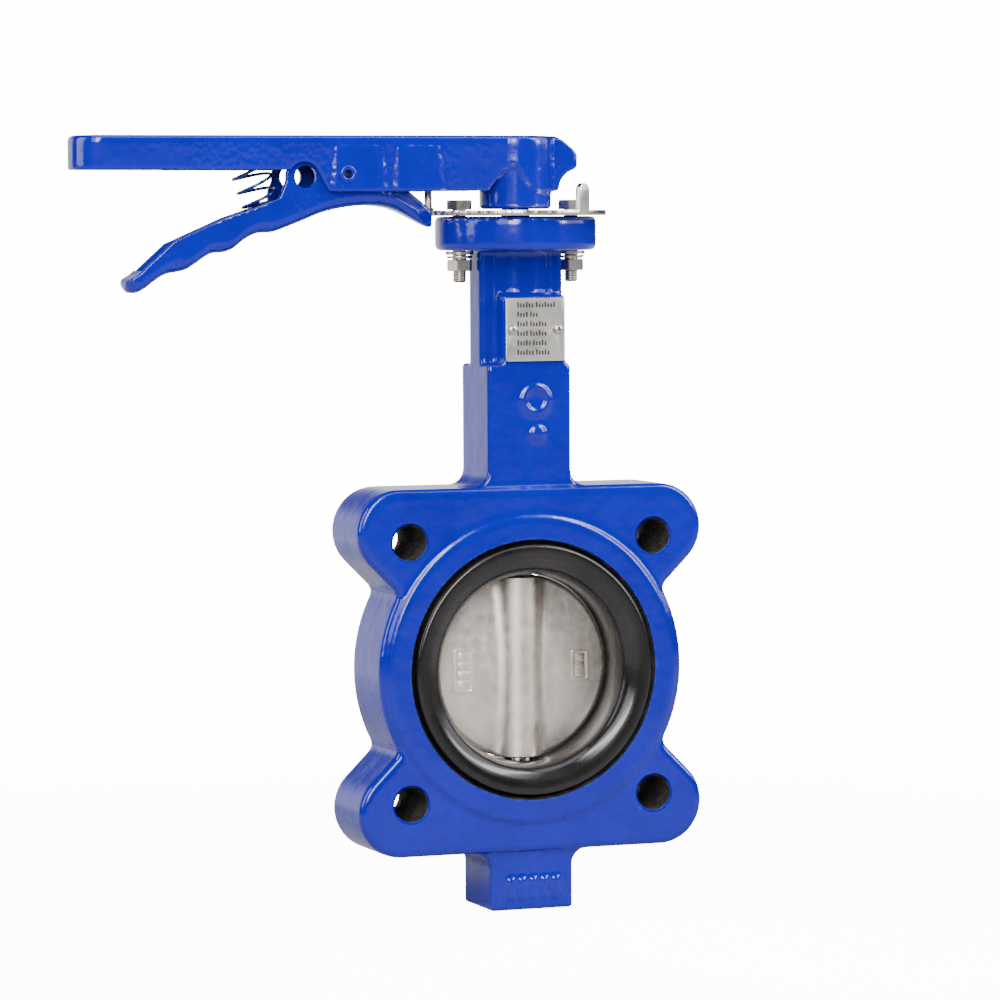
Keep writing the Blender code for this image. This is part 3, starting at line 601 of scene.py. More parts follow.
class Bench:
    """Adds and links the nodes of one material."""

    def __init__(self, name: str) -> None:
        """Starts a material with a Principled shader.

        Args:
            name: the material's name.
        """
        self.material = bpy.data.materials.new(name)
        self.material.use_nodes = True
        self.tree = self.material.node_tree
        self.shader = self.tree.nodes["Principled BSDF"]
        self.place = self.add("ShaderNodeTexCoord").outputs["Object"]

    def add(self, kind: str, inputs: dict[Any, Any] | None = None, **settings: Any) -> bpy.types.Node:
        """Adds a node.

        Args:
            kind: the node's type.
            inputs: values or sockets for its inputs, by name or number.
            settings: its properties.

        Returns:
            The node.
        """
        node = self.tree.nodes.new(kind)
        for key, value in settings.items():
            setattr(node, key, value)
        for key, value in (inputs or {}).items():
            self.feed(node.inputs[key], value)
        return node

    def feed(self, socket: bpy.types.NodeSocket, value: Any) -> None:
        """Links a socket to another, or sets its value.

        Args:
            socket: the input.
            value: another node's output, or the input's own value.
        """
        if isinstance(value, bpy.types.NodeSocket):
            self.tree.links.new(value, socket)
        else:
            socket.default_value = value

    def noise(self, scale: float, detail: float = 3.0, stretch: Triple = (1.0, 1.0, 1.0),
              roughness: float = 0.55) -> bpy.types.NodeSocket:
        """A noise over the piece's own space.

        Args:
            scale: its cells per metre.
            detail: its finer layers.
            stretch: how much each direction is scaled first.
            roughness: the weight of the finer layers.

        Returns:
            The noise's value, from 0 to 1.
        """
        place = self.add("ShaderNodeMapping", {"Vector": self.place, "Scale": stretch}).outputs[0]
        return self.add("ShaderNodeTexNoise", {"Vector": place, "Scale": scale, "Detail": detail,
                                               "Roughness": roughness}).outputs["Fac"]

    def span(self, value: bpy.types.NodeSocket, low: float, high: float, start: float = 0.0,
             end: float = 1.0) -> bpy.types.NodeSocket:
        """Maps a stretch of a value on to another, held at both ends.

        Args:
            value: the value.
            low: the result at the start.
            high: the result at the end.
            start: where the stretch starts.
            end: where it ends.

        Returns:
            The mapped value.
        """
        return self.add("ShaderNodeMapRange", {"Value": value, "From Min": start, "From Max": end,
                                               "To Min": low, "To Max": high}).outputs[0]

    def blend(self, share: Any, first: Any, second: Any) -> bpy.types.NodeSocket:
        """Mixes two colours.

        Args:
            share: how much of the second is in the mix, from 0 to 1.
            first: a colour or a colour output.
            second: another.

        Returns:
            The mix.
        """
        node = self.add("ShaderNodeMix", {"Factor": share}, data_type="RGBA")
        self.feed(node.inputs["A"], first)
        self.feed(node.inputs["B"], second)
        return node.outputs["Result"]

    def sum(self, first: Any, second: Any, operation: str = "ADD") -> bpy.types.NodeSocket:
        """Adds two values, or combines them by another operation."""
        return self.add("ShaderNodeMath", {0: first, 1: second}, operation=operation).outputs[0]

    def relief(self, height: bpy.types.NodeSocket, depth: float,
               under: bpy.types.NodeSocket | None = None) -> bpy.types.NodeSocket:
        """Raises a surface by a height map, over an earlier relief if given.

        Args:
            height: the height, from 0 to 1.
            depth: how far 1 stands above 0, in metres.
            under: the earlier relief.

        Returns:
            The surface direction.
        """
        node = self.add("ShaderNodeBump", {"Height": height, "Distance": depth, "Strength": 1.0})
        if under is not None:
            self.feed(node.inputs["Normal"], under)
        return node.outputs[0]

    def edges(self, low: float = 0.52, high: float = 0.60) -> bpy.types.NodeSocket:
        """How much a point stands on a convex edge, from 0 to 1."""
        point = self.add("ShaderNodeNewGeometry").outputs["Pointiness"]
        return self.span(point, 0.0, 1.0, low, high)

    def set(self, **values: Any) -> None:
        """Sets the shader's sockets; underscores in the names stand for spaces."""
        for key, value in values.items():
            self.feed(self.shader.inputs[key.replace("_", " ")], value)


def shade(red: float, green: float, blue: float) -> tuple[float, float, float, float]:
    """An opaque colour."""
    return (red, green, blue, 1.0)


@dataclass(frozen=True)
class Enamel:
    """Thick gloss enamel over a rough casting."""

    name: str
    colour: Triple = (0.0, 0.0015, 0.33)
    pooled: Triple = (0.0, 0.001, 0.25)
    thin_edge: Triple = (0.004, 0.03, 0.52)
    gloss: Pair = (0.09, 0.19)
    ripple: float = 0.26 * MM
    peel: float = 0.012 * MM
    dimples: float = 0.0

    def make(self) -> bpy.types.Material:
        """Builds the material.

        Returns:
            The material.
        """
        bench = Bench(self.name)
        pool = bench.span(bench.noise(38.0, 4.0), 0.0, 1.0, 0.35, 0.75)
        colour = bench.blend(pool, shade(*self.colour), shade(*self.pooled))
        thin = bench.sum(bench.edges(0.53, 0.66), bench.noise(300.0), "MULTIPLY")
        colour = bench.blend(thin, colour, shade(*self.thin_edge))
        rough = bench.span(bench.noise(120.0, 4.0), self.gloss[0], self.gloss[1], 0.3, 0.75)
        relief = bench.relief(bench.noise(75.0, 2.0), self.ripple)
        relief = bench.relief(bench.noise(420.0, 2.0), self.peel, relief)
        if self.dimples:
            place = bench.add("ShaderNodeMapping", {"Vector": bench.place, "Scale": (1.0, 1.0, 0.8)})
            cells = bench.add("ShaderNodeTexVoronoi", {"Vector": place.outputs[0], "Scale": 480.0},
                              feature="SMOOTH_F1")
            patch = bench.span(bench.noise(42.0, 2.0), 0.0, 1.0, 0.44, 0.60)
            hammered = bench.sum(cells.outputs["Distance"], patch, "MULTIPLY")
            relief = bench.relief(hammered, self.dimples, relief)
        bench.set(Base_Color=colour, Roughness=rough, Normal=relief, Coat_Weight=0.3, Coat_Roughness=0.03,
                  Specular_IOR_Level=0.4, Coat_Normal=relief)
        return bench.material


@dataclass(frozen=True)
class MouldedRubber:
    """Dark moulded rubber, greyer where it is handled and dusty in its hollows."""

    name: str
    colour: Triple = (0.0060, 0.0056, 0.0062)
    dust: Triple = (0.026, 0.021, 0.018)
    gloss: Pair = (0.14, 0.30)

    def make(self) -> bpy.types.Material:
        """Builds the material.

        Returns:
            The material.
        """
        bench = Bench(self.name)
        smear = bench.span(bench.noise(34.0, 5.0, (1.0, 2.5, 1.0)), 0.0, 0.55, 0.42, 0.78)
        specks = bench.span(bench.noise(900.0, 2.0), 0.0, 0.35, 0.6, 0.8)
        colour = bench.blend(bench.sum(smear, specks), shade(*self.colour), shade(*self.dust))
        rough = bench.span(bench.noise(60.0, 5.0), self.gloss[0], self.gloss[1], 0.3, 0.75)
        relief = bench.relief(bench.noise(150.0, 3.0), 0.02 * MM)
        relief = bench.relief(bench.noise(1600.0, 2.0), 0.006 * MM, relief)
        bench.set(Base_Color=colour, Roughness=rough, Normal=relief, Specular_IOR_Level=0.5)
        return bench.material


@dataclass(frozen=True)
class BlastedSteel:
    """Satin cast stainless steel with the fine grain of blasting."""

    name: str
    colour: Triple = (0.88, 0.80, 0.73)
    stain: Triple = (0.60, 0.53, 0.47)
    gloss: Pair = (0.36, 0.50)
    grain: float = 0.030 * MM

    def make(self) -> bpy.types.Material:
        """Builds the material.

        Returns:
            The material.
        """
        bench = Bench(self.name)
        cloud = bench.span(bench.noise(55.0, 5.0), 0.0, 0.8, 0.4, 0.8)
        pits = bench.span(bench.noise(1500.0, 2.0), 0.0, 0.45, 0.58, 0.8)
        colour = bench.blend(bench.sum(cloud, pits), shade(*self.colour), shade(*self.stain))
        rough = bench.span(bench.noise(260.0, 4.0), self.gloss[0], self.gloss[1], 0.3, 0.7)
        relief = bench.relief(bench.noise(1250.0, 3.0), self.grain)
        relief = bench.relief(bench.noise(180.0, 3.0), 0.03 * MM, relief)
        bench.set(Base_Color=colour, Roughness=rough, Normal=relief, Metallic=1.0)
        return bench.material


@dataclass(frozen=True)
class BrushedSteel:
    """Stainless steel with fine scratches along one direction."""

    name: str
    colour: Triple = (0.62, 0.60, 0.565)
    dull: Triple = (0.42, 0.40, 0.375)
    worn: Triple = (0.78, 0.76, 0.72)
    stretch: Triple = (1.0, 1.0, 14.0)
    gloss: Pair = (0.20, 0.36)
    depth: float = 0.006 * MM

    def make(self) -> bpy.types.Material:
        """Builds the material.

        Returns:
            The material.
        """
        bench = Bench(self.name)
        lines = bench.noise(420.0, 4.0, self.stretch, 0.7)
        cloud = bench.noise(130.0, 4.0)
        tone = bench.sum(bench.span(lines, 0.0, 0.5, 0.35, 0.75), bench.span(cloud, 0.0, 0.4, 0.45, 0.8))
        colour = bench.blend(tone, shade(*self.colour), shade(*self.dull))
        rubbed = bench.sum(bench.edges(0.54, 0.62), 0.5, "MULTIPLY")
        colour = bench.blend(rubbed, colour, shade(*self.worn))
        rough = bench.span(bench.sum(lines, cloud, "MULTIPLY"), self.gloss[0], self.gloss[1], 0.12, 0.42)
        relief = bench.relief(lines, self.depth)
        bench.set(Base_Color=colour, Roughness=rough, Normal=relief, Metallic=1.0)
        return bench.material


@dataclass(frozen=True)
class TappedIron:
    """Bare cast iron in a tapped hole: dark, oily and slightly rusted."""

    name: str
    colour: Triple = (0.085, 0.076, 0.070)
    rust: Triple = (0.060, 0.036, 0.024)
    cut: Triple = (0.26, 0.24, 0.22)

    def make(self) -> bpy.types.Material:
        """Builds the material.

        Returns:
            The material.
        """
        bench = Bench(self.name)
        patch = bench.span(bench.noise(160.0, 5.0), 0.0, 0.9, 0.48, 0.75)
        colour = bench.blend(patch, shade(*self.colour), shade(*self.rust))
        bright = bench.span(bench.noise(500.0, 3.0), 0.0, 0.5, 0.55, 0.8)
        colour = bench.blend(bright, colour, shade(*self.cut))
        rough = bench.span(bench.noise(300.0, 4.0), 0.28, 0.62, 0.3, 0.7)
        metal = bench.span(patch, 0.85, 0.2)
        relief = bench.relief(bench.noise(900.0, 3.0), 0.02 * MM)
        bench.set(Base_Color=colour, Roughness=rough, Metallic=metal, Normal=relief)
        return bench.material


@dataclass(frozen=True)
class BearingPolymer:
    """Off-white bearing polymer with faint flow marks."""

    name: str
    colour: Triple = (0.74, 0.73, 0.69)
    flow_mark: Triple = (0.60, 0.58, 0.53)

    def make(self) -> bpy.types.Material:
        """Builds the material.

        Returns:
            The material.
        """
        bench = Bench(self.name)
        flow = bench.span(bench.noise(200.0, 4.0, (1.0, 1.0, 4.0)), 0.0, 0.5, 0.35, 0.75)
        colour = bench.blend(flow, shade(*self.colour), shade(*self.flow_mark))
        rough = bench.span(bench.noise(400.0, 3.0), 0.40, 0.58)
        bench.set(Base_Color=colour, Roughness=rough, Normal=bench.relief(bench.noise(800.0), 0.008 * MM))
        return bench.material


@dataclass(frozen=True)
class EtchInk:
    """Dark etched marks on the name plate."""

    name: str
    colour: Triple = (0.012, 0.012, 0.013)
    faded: Triple = (0.06, 0.058, 0.055)

    def make(self) -> bpy.types.Material:
        """Builds the material.

        Returns:
            The material.
        """
        bench = Bench(self.name)
        worn = bench.span(bench.noise(1400.0, 3.0), 0.0, 0.7, 0.45, 0.75)
        colour = bench.blend(worn, shade(*self.colour), shade(*self.faded))
        rough = bench.span(bench.noise(700.0), 0.45, 0.7)
        bench.set(Base_Color=colour, Roughness=rough, Normal=bench.relief(bench.noise(1500.0), 0.004 * MM))
        return bench.material


@dataclass(frozen=True)
class StudioFloor:
    """A pale floor, lit up to the background's white, that fades out far from the valve."""

    name: str
    tones: Pair = (0.36, 0.40)
    near: float = 0.35
    far: float = 0.95
    lift: float = 34.0

    def make(self) -> bpy.types.Material:
        """Builds the material.

        Returns:
            The material.
        """
        bench = Bench(self.name)
        tone = bench.span(bench.noise(2.5, 3.0), self.tones[0], self.tones[1])
        pale = bench.add("ShaderNodeCombineColor", {0: tone, 1: tone, 2: tone}).outputs[0]
        seen = bench.add("ShaderNodeLightPath").outputs["Is Camera Ray"]
        reach = bench.add("ShaderNodeVectorMath", {0: bench.place}, operation="LENGTH").outputs["Value"]
        bench.set(Base_Color=pale, Roughness=0.75, Specular_IOR_Level=0.2, Emission_Color=pale,
                  Emission_Strength=bench.sum(seen, self.lift, "MULTIPLY"),
                  Alpha=bench.span(reach, 1.0, 0.0, self.near, self.far))
        return bench.material


@dataclass
class Finishes:
    """The finishes, each made once."""

    body_enamel: bpy.types.Material = field(default_factory=lambda: Enamel("body_enamel").make())
    lever_enamel: bpy.types.Material = field(default_factory=lambda: Enamel(
        "lever_enamel", ripple=0.18 * MM, peel=0.010 * MM, dimples=0.15 * MM).make())
    # The spring has the lever's enamel, with its colours darkened as painted shade for the shadow between
    # lever and trigger.
    spring_enamel: bpy.types.Material = field(default_factory=lambda: Enamel(
        "spring_enamel", colour=(0.001, 0.008, 0.16), pooled=(0.001, 0.004, 0.08), ripple=0.03 * MM).make())
    seat_rubber: bpy.types.Material = field(default_factory=lambda: MouldedRubber("seat_rubber").make())
    lead_in_rubber: bpy.types.Material = field(default_factory=lambda: MouldedRubber(
        "lead_in_rubber", colour=(0.0085, 0.0085, 0.0095), dust=(0.045, 0.041, 0.037),
        gloss=(0.11, 0.24)).make())
    cast_stainless: bpy.types.Material = field(default_factory=lambda: BlastedSteel("cast_stainless").make())
    plate_steel: bpy.types.Material = field(default_factory=lambda: BrushedSteel(
        "plate_steel", colour=(0.66, 0.63, 0.585), dull=(0.48, 0.455, 0.42), stretch=(1.0, 6.0, 1.0)).make())
    bolt_steel: bpy.types.Material = field(default_factory=lambda: BrushedSteel(
        "bolt_steel", colour=(0.62, 0.58, 0.525), dull=(0.38, 0.35, 0.31), gloss=(0.26, 0.42)).make())
    label_steel: bpy.types.Material = field(default_factory=lambda: BrushedSteel(
        "label_steel", colour=(0.80, 0.77, 0.72), dull=(0.64, 0.61, 0.57), stretch=(1.0, 1.0, 22.0),
        gloss=(0.30, 0.44)).make())
    stem_steel: bpy.types.Material = field(default_factory=lambda: BrushedSteel(
        "stem_steel", stretch=(1.0, 1.0, 18.0)).make())
    tapped_iron: bpy.types.Material = field(default_factory=lambda: TappedIron("tapped_iron").make())
    bush_polymer: bpy.types.Material = field(default_factory=lambda: BearingPolymer("bush_polymer").make())
    etch_ink: bpy.types.Material = field(default_factory=lambda: EtchInk("etch_ink").make())


# ---------------------------------------------------------------- body casting


@dataclass
class BodyCasting:
    """The one-piece iron casting: barrel, lugs, foot, neck, name-plate pad and top flange."""

    hole_offset: float = 160 * MM / 2 * math.sin(math.radians(45))
    lug_edge: float = 79.5 * MM
    lug_corner: float = 19.0 * MM
    lug_half: float = 19.5 * MM
    hole_core: float = 7.3 * MM
    hole_crest: float = 8.1 * MM
    thread_pitch: float = 2.0 * MM
    barrel_radius: float = 70.0 * MM
    waist_fillet: float = 4.0 * MM
    ring_radius: float = 67.2 * MM
    ring_half: float = 21.0 * MM
    seat_bore: float = 56.0 * MM
    rib_bore: float = 53.6 * MM
    rib_half: float = 7.0 * MM
    neck_half_width: float = 19.1 * MM
    neck_half_depth: float = 17.0 * MM
    neck_top: float = 132.5 * MM
    neck_flare: float = 7.0 * MM
    foot_bottom: float = -105.4 * MM
    wing_half_depth: float = 8.0 * MM
    housing_radius: float = 15.0 * MM
    pad: tuple[float, float, float] = (-12.2 * MM, 17.0 * MM, 162.6 * MM)
    flange_radius: float = 35.1 * MM
    flange: Pair = (181.8 * MM, 196.6 * MM)
    bolt_spread: float = 26.0 * MM
    bolt_hole: float = 3.5 * MM
    stem_bore: float = 6.6 * MM
    bush_bore: float = 9.0 * MM
    bore_wall: float = 49.0 * MM
    bush_shoulder: float = 72.3 * MM
    top_bush_floor: float = 172.0 * MM
    stub_end: float = 92.3 * MM
    grain: float = 0.9 * MM
    softening: int = 6

    def lug_outline(self) -> Outline:
        """The front outline of barrel and lugs.

        Returns:
            The closed outline as (x, z) pairs.
        """
        corner = self.lug_edge - self.lug_corner
        reach = self.barrel_radius + self.waist_fillet
        side = self.lug_corner + self.waist_fillet
        along = math.sqrt(reach ** 2 - side ** 2)
        root = math.sqrt(0.5)
        fillet = ((along + side) * root, (along - side) * root)
        meet = math.degrees(math.atan2(fillet[1], fillet[0]))
        quarter = [
            *arc((0.0, 0.0), self.barrel_radius, 0.0, meet, 2.5),
            *arc(fillet, self.waist_fillet, 180.0 + meet, 135.0, 10.0)[1:],
            *arc((corner, corner), self.lug_corner, -45.0, 90.0),
        ]
        upper = quarter + [(-x, z) for x, z in reversed(quarter)][:-1]
        return upper + [(-x, -z) for x, z in upper]

    def neck_outline(self) -> Outline:
        """The outline of the foot and the lower neck, flared where they meet the lugs.

        Returns:
            The closed outline as (x, z) pairs.
        """
        flare = self.neck_half_width + self.neck_flare
        inside = self.lug_edge - 5 * MM
        right = [
            (self.neck_half_width, self.foot_bottom),
            *arc((flare, -self.lug_edge - self.neck_flare), self.neck_flare, 180.0, 90.0, 8.0),
            (flare, -inside),
            (flare, inside),
            *arc((flare, self.lug_edge + self.neck_flare), self.neck_flare, 270.0, 180.0, 8.0),
            (self.neck_half_width, self.neck_top),
        ]
        return right + [(-x, z) for x, z in reversed(right)]

    def foundry_marks(self) -> list[bpy.types.Object]:
        """Plain raised marks: a ring and a dot on the neck, and a row of bars on the foot.

        Returns:
            The marks.
        """
        face = -self.neck_half_depth
        tube = 1.3 * MM
        section = [(5.6 * MM + u, face + v) for u, v in arc((0.0, 0.0), tube, 0.0, 345.0, 15.0)]
        ring = turned(section, Axis.Y, 48, (2.6 * MM, 117.0 * MM))
        dome = [(0.0, face + 1 * MM), (3.4 * MM, face + 1 * MM), (3.2 * MM, face - 0.8 * MM),
                (2.2 * MM, face - 1.4 * MM), (0.0, face - 1.5 * MM)]
        dot = turned(dome, Axis.Y, 40, (3.6 * MM, 102.5 * MM))
        bars = []
        for index in range(5):
            x = (-11.2 + 5.2 * index) * MM
            bar = block((x, face - 1.2 * MM, -100.5 * MM), (x + 2.7 * MM, face + 1 * MM, -91.0 * MM))
            bars.append(eased(bar, 0.8 * MM))
        return [ring, dot, *bars]

    def raw_casting(self) -> bpy.types.Object:
        """The unmachined casting, fused and softened.

        Returns:
            The casting.
        """
        half = self.lug_half
        lugs = eased(extruded(self.lug_outline(), -half, half, Axis.Y), 2.4 * MM)
        lip = 1.9 * MM
        rim = self.ring_half - lip
        ring = turned([(0.0, -self.ring_half), *arc((self.ring_radius - lip, -rim), lip, -90.0, 0.0, 15.0),
                       *arc((self.ring_radius - lip, rim), lip, 0.0, 90.0, 15.0), (0.0, self.ring_half)],
                      Axis.Y, 160)
        depth = self.neck_half_depth
        neck = eased(extruded(self.neck_outline(), -depth, depth, Axis.Y), 2.2 * MM)
        low, high = self.neck_top - 4.5 * MM, self.flange[0] + 3 * MM
        width = self.neck_half_width
        thick = self.wing_half_depth
        wings = eased(block((-width, -thick, low), (width, thick, high)), 1.8 * MM)
        housing = cylinder(self.housing_radius, low, high)
        left, right, top = self.pad
        plate_pad = eased(block((left, -depth, low), (right, -5 * MM, top)), 1.2 * MM)
        edge = 2.2 * MM
        disc = turned([(0.0, self.flange[0]),
                       *arc((self.flange_radius - edge, self.flange[0] + edge), edge, -90.0, 0.0, 15.0),
                       *arc((self.flange_radius - edge, self.flange[1] - edge), edge, 0.0, 90.0, 15.0),
                       (0.0, self.flange[1])], steps=120)
        casting = gather(lugs, ring, neck, wings, housing, plate_pad, disc, *self.foundry_marks())
        return cast_skin(casting, self.grain, self.softening)

    def machining(self, iron: bpy.types.Material, enamel: bpy.types.Material) -> list[bpy.types.Object]:
        """The tools that cut the seat bore, the stem bore, the tapped lug holes and the bolt holes.

        Args:
            iron: the finish of a cut surface.
            enamel: the finish of the lug holes' chamfers, which are painted over.

        Returns:
            The tools.
        """
        past = self.ring_half + 2 * MM
        chamfer = 0.8 * MM
        half_seat = [(self.rib_bore, self.rib_half), (self.seat_bore, self.rib_half),
                     (self.seat_bore, self.ring_half - chamfer), (self.seat_bore + chamfer, self.ring_half),
                     (self.seat_bore + chamfer, past), (0.0, past)]
        seat = turned([(r, -h) for r, h in reversed(half_seat)] + half_seat, Axis.Y, 128)
        inside, shoulder = self.bore_wall, self.bush_shoulder
        above = self.flange[1] + 1 * MM
        stem = turned([(0.0, inside), (self.bush_bore, inside), (self.bush_bore, shoulder),
                       (self.stem_bore, shoulder), (self.stem_bore, self.top_bush_floor),
                       (self.bush_bore, self.top_bush_floor), (self.bush_bore, above), (0.0, above)],
                      steps=48)
        stub = turned([(0.0, -self.stub_end), (self.stem_bore, -self.stub_end), (self.stem_bore, -shoulder),
                       (self.bush_bore, -shoulder), (self.bush_bore, -inside), (0.0, -inside)], steps=48)
        tools = [seat, stem, stub]
        painted = []
        mouth = self.hole_crest + 0.5 * MM
        cone = 1.7 * MM
        beyond = 2 * MM
        far = self.lug_half + beyond
        for x in (-self.hole_offset, self.hole_offset):
            for z in (-self.hole_offset, self.hole_offset):
                tools.append(threaded_bar(self.hole_core, self.hole_crest, self.thread_pitch, -far, far, 40,
                                          Axis.Y, (x, z)))
                for side in (-1, 1):
                    face = side * self.lug_half
                    sink = [(0.0, face - side * cone), (mouth - 1.5 * MM, face - side * cone),
                            (mouth, face - side * 0.1 * MM), (mouth, face + side * beyond),
                            (0.0, face + side * beyond)]
                    painted.append(paint(turned(sink, Axis.Y, 56, (x, z)), enamel))
        for side in (-1, 1):
            tools.append(cylinder(self.bolt_hole, self.flange[0] - 1 * MM, above,
                                  at=(side * self.bolt_spread, 0.0), steps=40))
        return [paint(tool, iron) for tool in tools] + painted

    def build(self, finishes: Finishes) -> None:
        """Builds and dresses the body.

        Args:
            finishes: the valve's finishes.
        """
        body = paint(self.raw_casting(), finishes.body_enamel)
        thinned(body, 0.62)
        combine(body, Combine.CUT, *self.machining(finishes.tapped_iron, finishes.body_enamel))
        dress(body, "body_casting", Carrier.VALVE, finishes.body_enamel, ["valve_body"], 50.0)


# ---------------------------------------------------------------- seat and disc


@dataclass
class SeatLiner:
    """The moulded rubber seat, with a rim that seals on each pipe flange and a conical lead-in."""

    bore: float = 40.95 * MM
    half: float = 23.0 * MM
    rim_radius: float = 54.6 * MM
    outer: float = 55.7 * MM
    waist: float = 53.3 * MM
    rib_half: float = 7.3 * MM
    stem_bore: float = 6.6 * MM
    lead_in: Pair = (41.0 * MM, 48.6 * MM)

    def profile(self) -> Outline:
        """One half of the section, from the middle of the bore to the locking rib.

        Returns:
            (radius, height) pairs.
        """
        throat = flowing([(self.bore, 9.0 * MM), (41.1 * MM, 12.5 * MM), (42.0 * MM, 16.6 * MM),
                          (44.2 * MM, 20.0 * MM), (47.2 * MM, 22.0 * MM), (49.0 * MM, 22.75 * MM)], 5)
        nose = [(49.8 * MM, self.half), (52.4 * MM, self.half)]
        corner = arc((self.rim_radius - 1.8 * MM, self.half - 1.8 * MM), 1.8 * MM, 80.0, 0.0, 10.0)
        back = [(self.rim_radius, 17.9 * MM), (self.outer, 17.1 * MM), (self.outer, self.rib_half),
                (self.waist, self.rib_half)]
        return [(self.bore, 0.0), *throat, *nose, *corner, *back]

    def build(self, finishes: Finishes) -> None:
        """Builds and dresses the seat.

        Args:
            finishes: the valve's finishes.
        """
        upper = self.profile()
        liner = turned(upper + [(r, -h) for r, h in reversed(upper)][:-1], Axis.Y, 200)
        paint(liner, finishes.seat_rubber)
        liner.data.materials.append(finishes.lead_in_rubber)
        for face in liner.data.polygons:
            reach = math.hypot(face.center.x, face.center.z)
            if self.lead_in[0] < reach < self.lead_in[1]:
                face.material_index = 1
        holes = [paint(cylinder(self.stem_bore, low, low + 20 * MM, steps=48), finishes.seat_rubber)
                 for low in (38 * MM, -58 * MM)]
        combine(liner, Combine.CUT, *holes)
        dress(liner, "seat_moulding", Carrier.VALVE, finishes.seat_rubber, ["seat_liner"], 40.0)


@dataclass
class DiscCasting:
    """The disc: a thin lens with a round barrel down its middle and two framed pads on each face."""

    radius: float = 40.55 * MM
    crown: float = 5.0 * MM
    edge: float = 2.3 * MM
    barrel: float = 10.0 * MM
    fillet: float = 7.0 * MM
    rim: float = 0.9 * MM
    rings: int = 84
    sectors: int = 300
    crowding: float = 1.35
    pads: tuple[tuple[float, float, float, float, int], ...] = (
        (-26.6 * MM, -1.0 * MM, 4.3 * MM, 9.6 * MM, 4), (28.0 * MM, -0.5 * MM, 4.0 * MM, 6.8 * MM, 3))

    def lens(self, reach: float) -> float:
        """The lens's half thickness.

        Args:
            reach: the distance from its centre.

        Returns:
            The half thickness.
        """
        share = reach / self.radius
        body = self.crown + (self.edge - self.crown) * share ** 2
        rounding = 2.0 * MM
        inward = max(0.0, reach - (self.radius - rounding)) / rounding
        return self.rim + (body - self.rim) * math.sqrt(max(0.0, 1.0 - min(inward, 1.0) ** 2))

    def height(self, x: float, z: float) -> float:
        """The half thickness of the disc at a point of its face.

        Args:
            x: the distance from the barrel's middle.
            z: the distance along the barrel.

        Returns:
            The half thickness.
        """
        reach = math.hypot(x, z)
        face = self.lens(reach)
        foot = math.sqrt((self.barrel + self.fillet) ** 2 - (face + self.fillet) ** 2)
        if abs(x) < foot * self.barrel / (self.barrel + self.fillet):
            face = math.sqrt(self.barrel ** 2 - x * x)
        elif abs(x) < foot:
            face += self.fillet - math.sqrt(self.fillet ** 2 - (foot - abs(x)) ** 2)
        dome = math.sqrt(max(self.radius ** 2 - reach ** 2, 0.0))
        return min(face, max(dome, self.rim))

    def pad(self, across: float, along: float, wide: float, tall: float, marks: int) -> bpy.types.Object:
        """A framed pad with a row of plain square studs, lying on the front face.

        Args:
            across: the pad's middle, from the barrel.
            along: its middle, along the barrel.
            wide: half its width.
            tall: half its length.
            marks: how many studs it holds.

        Returns:
            The pad.
        """
        corner, frame, margin = 1.1 * MM, 0.75 * MM, 1.4 * MM
        pad = extruded(rounded_rectangle(wide, tall, corner), -0.55 * MM, 1.5 * MM, Axis.Y)
        well = rounded_rectangle(wide - frame, tall - frame, corner)
        combine(pad, Combine.CUT, extruded(well, -2 * MM, -0.15 * MM, Axis.Y))
        pitch = 2 * (tall - margin) / marks
        half_wide, half_tall, rise = wide - 2.0 * MM, pitch / 2 - 0.35 * MM, 0.5 * MM
        for index in range(marks):
            z = -tall + margin + pitch * (index + 0.5)
            stud = block((-half_wide, -rise, z - half_tall), (half_wide, rise, z + half_tall))
            combine(pad, Combine.ADD, stud)
        eased(pad, 0.14 * MM, 2, 50.0)
        slope = 2 * (self.crown - self.edge) * across / self.radius ** 2
        depth = self.height(across, along)
        pad.data.transform(Matrix.Translation((across, -depth, along)) @ Matrix.Rotation(
            math.atan(slope), 4, "Z"))
        return pad

    def build(self, finishes: Finishes) -> None:
        """Builds and dresses the disc.

        Args:
            finishes: the valve's finishes.
        """
        shape = bmesh.new()
        rims = {}
        for side in (-1, 1):
            rings = []
            for ring in range(1, self.rings + 1):
                reach = self.radius * (1.0 - (1.0 - ring / self.rings) ** self.crowding)
                row = []
                for sector in range(self.sectors):
                    angle = 2 * math.pi * sector / self.sectors
                    x, z = reach * math.cos(angle), reach * math.sin(angle)
                    row.append(shape.verts.new((x, side * self.height(x, z), z)))
                rings.append(row)
            hub = shape.verts.new((0.0, side * self.height(0.0, 0.0), 0.0))
            for i in range(self.sectors):
                j = (i + 1) % self.sectors
                shape.faces.new((hub, rings[0][i], rings[0][j]))
                for here, there in zip(rings, rings[1:]):
                    shape.faces.new((here[i], there[i], there[j], here[j]))
            rims[side] = rings[-1]
        for i in range(self.sectors):
            j = (i + 1) % self.sectors
            shape.faces.new((rims[-1][i], rims[-1][j], rims[1][j], rims[1][i]))
        disc = new_piece("disc", shape)
        for turn in (0.0, 180.0):
            for measures in self.pads:
                pad = self.pad(*measures)
                pad.data.transform(Matrix.Rotation(math.radians(turn), 4, "Z"))
                combine(disc, Combine.ADD, pad)
        dress(disc, "disc_casting", Carrier.STEM_LINE, finishes.cast_stainless, ["disc"], 40.0)


# ---------------------------------------------------------------- notched plate and fasteners


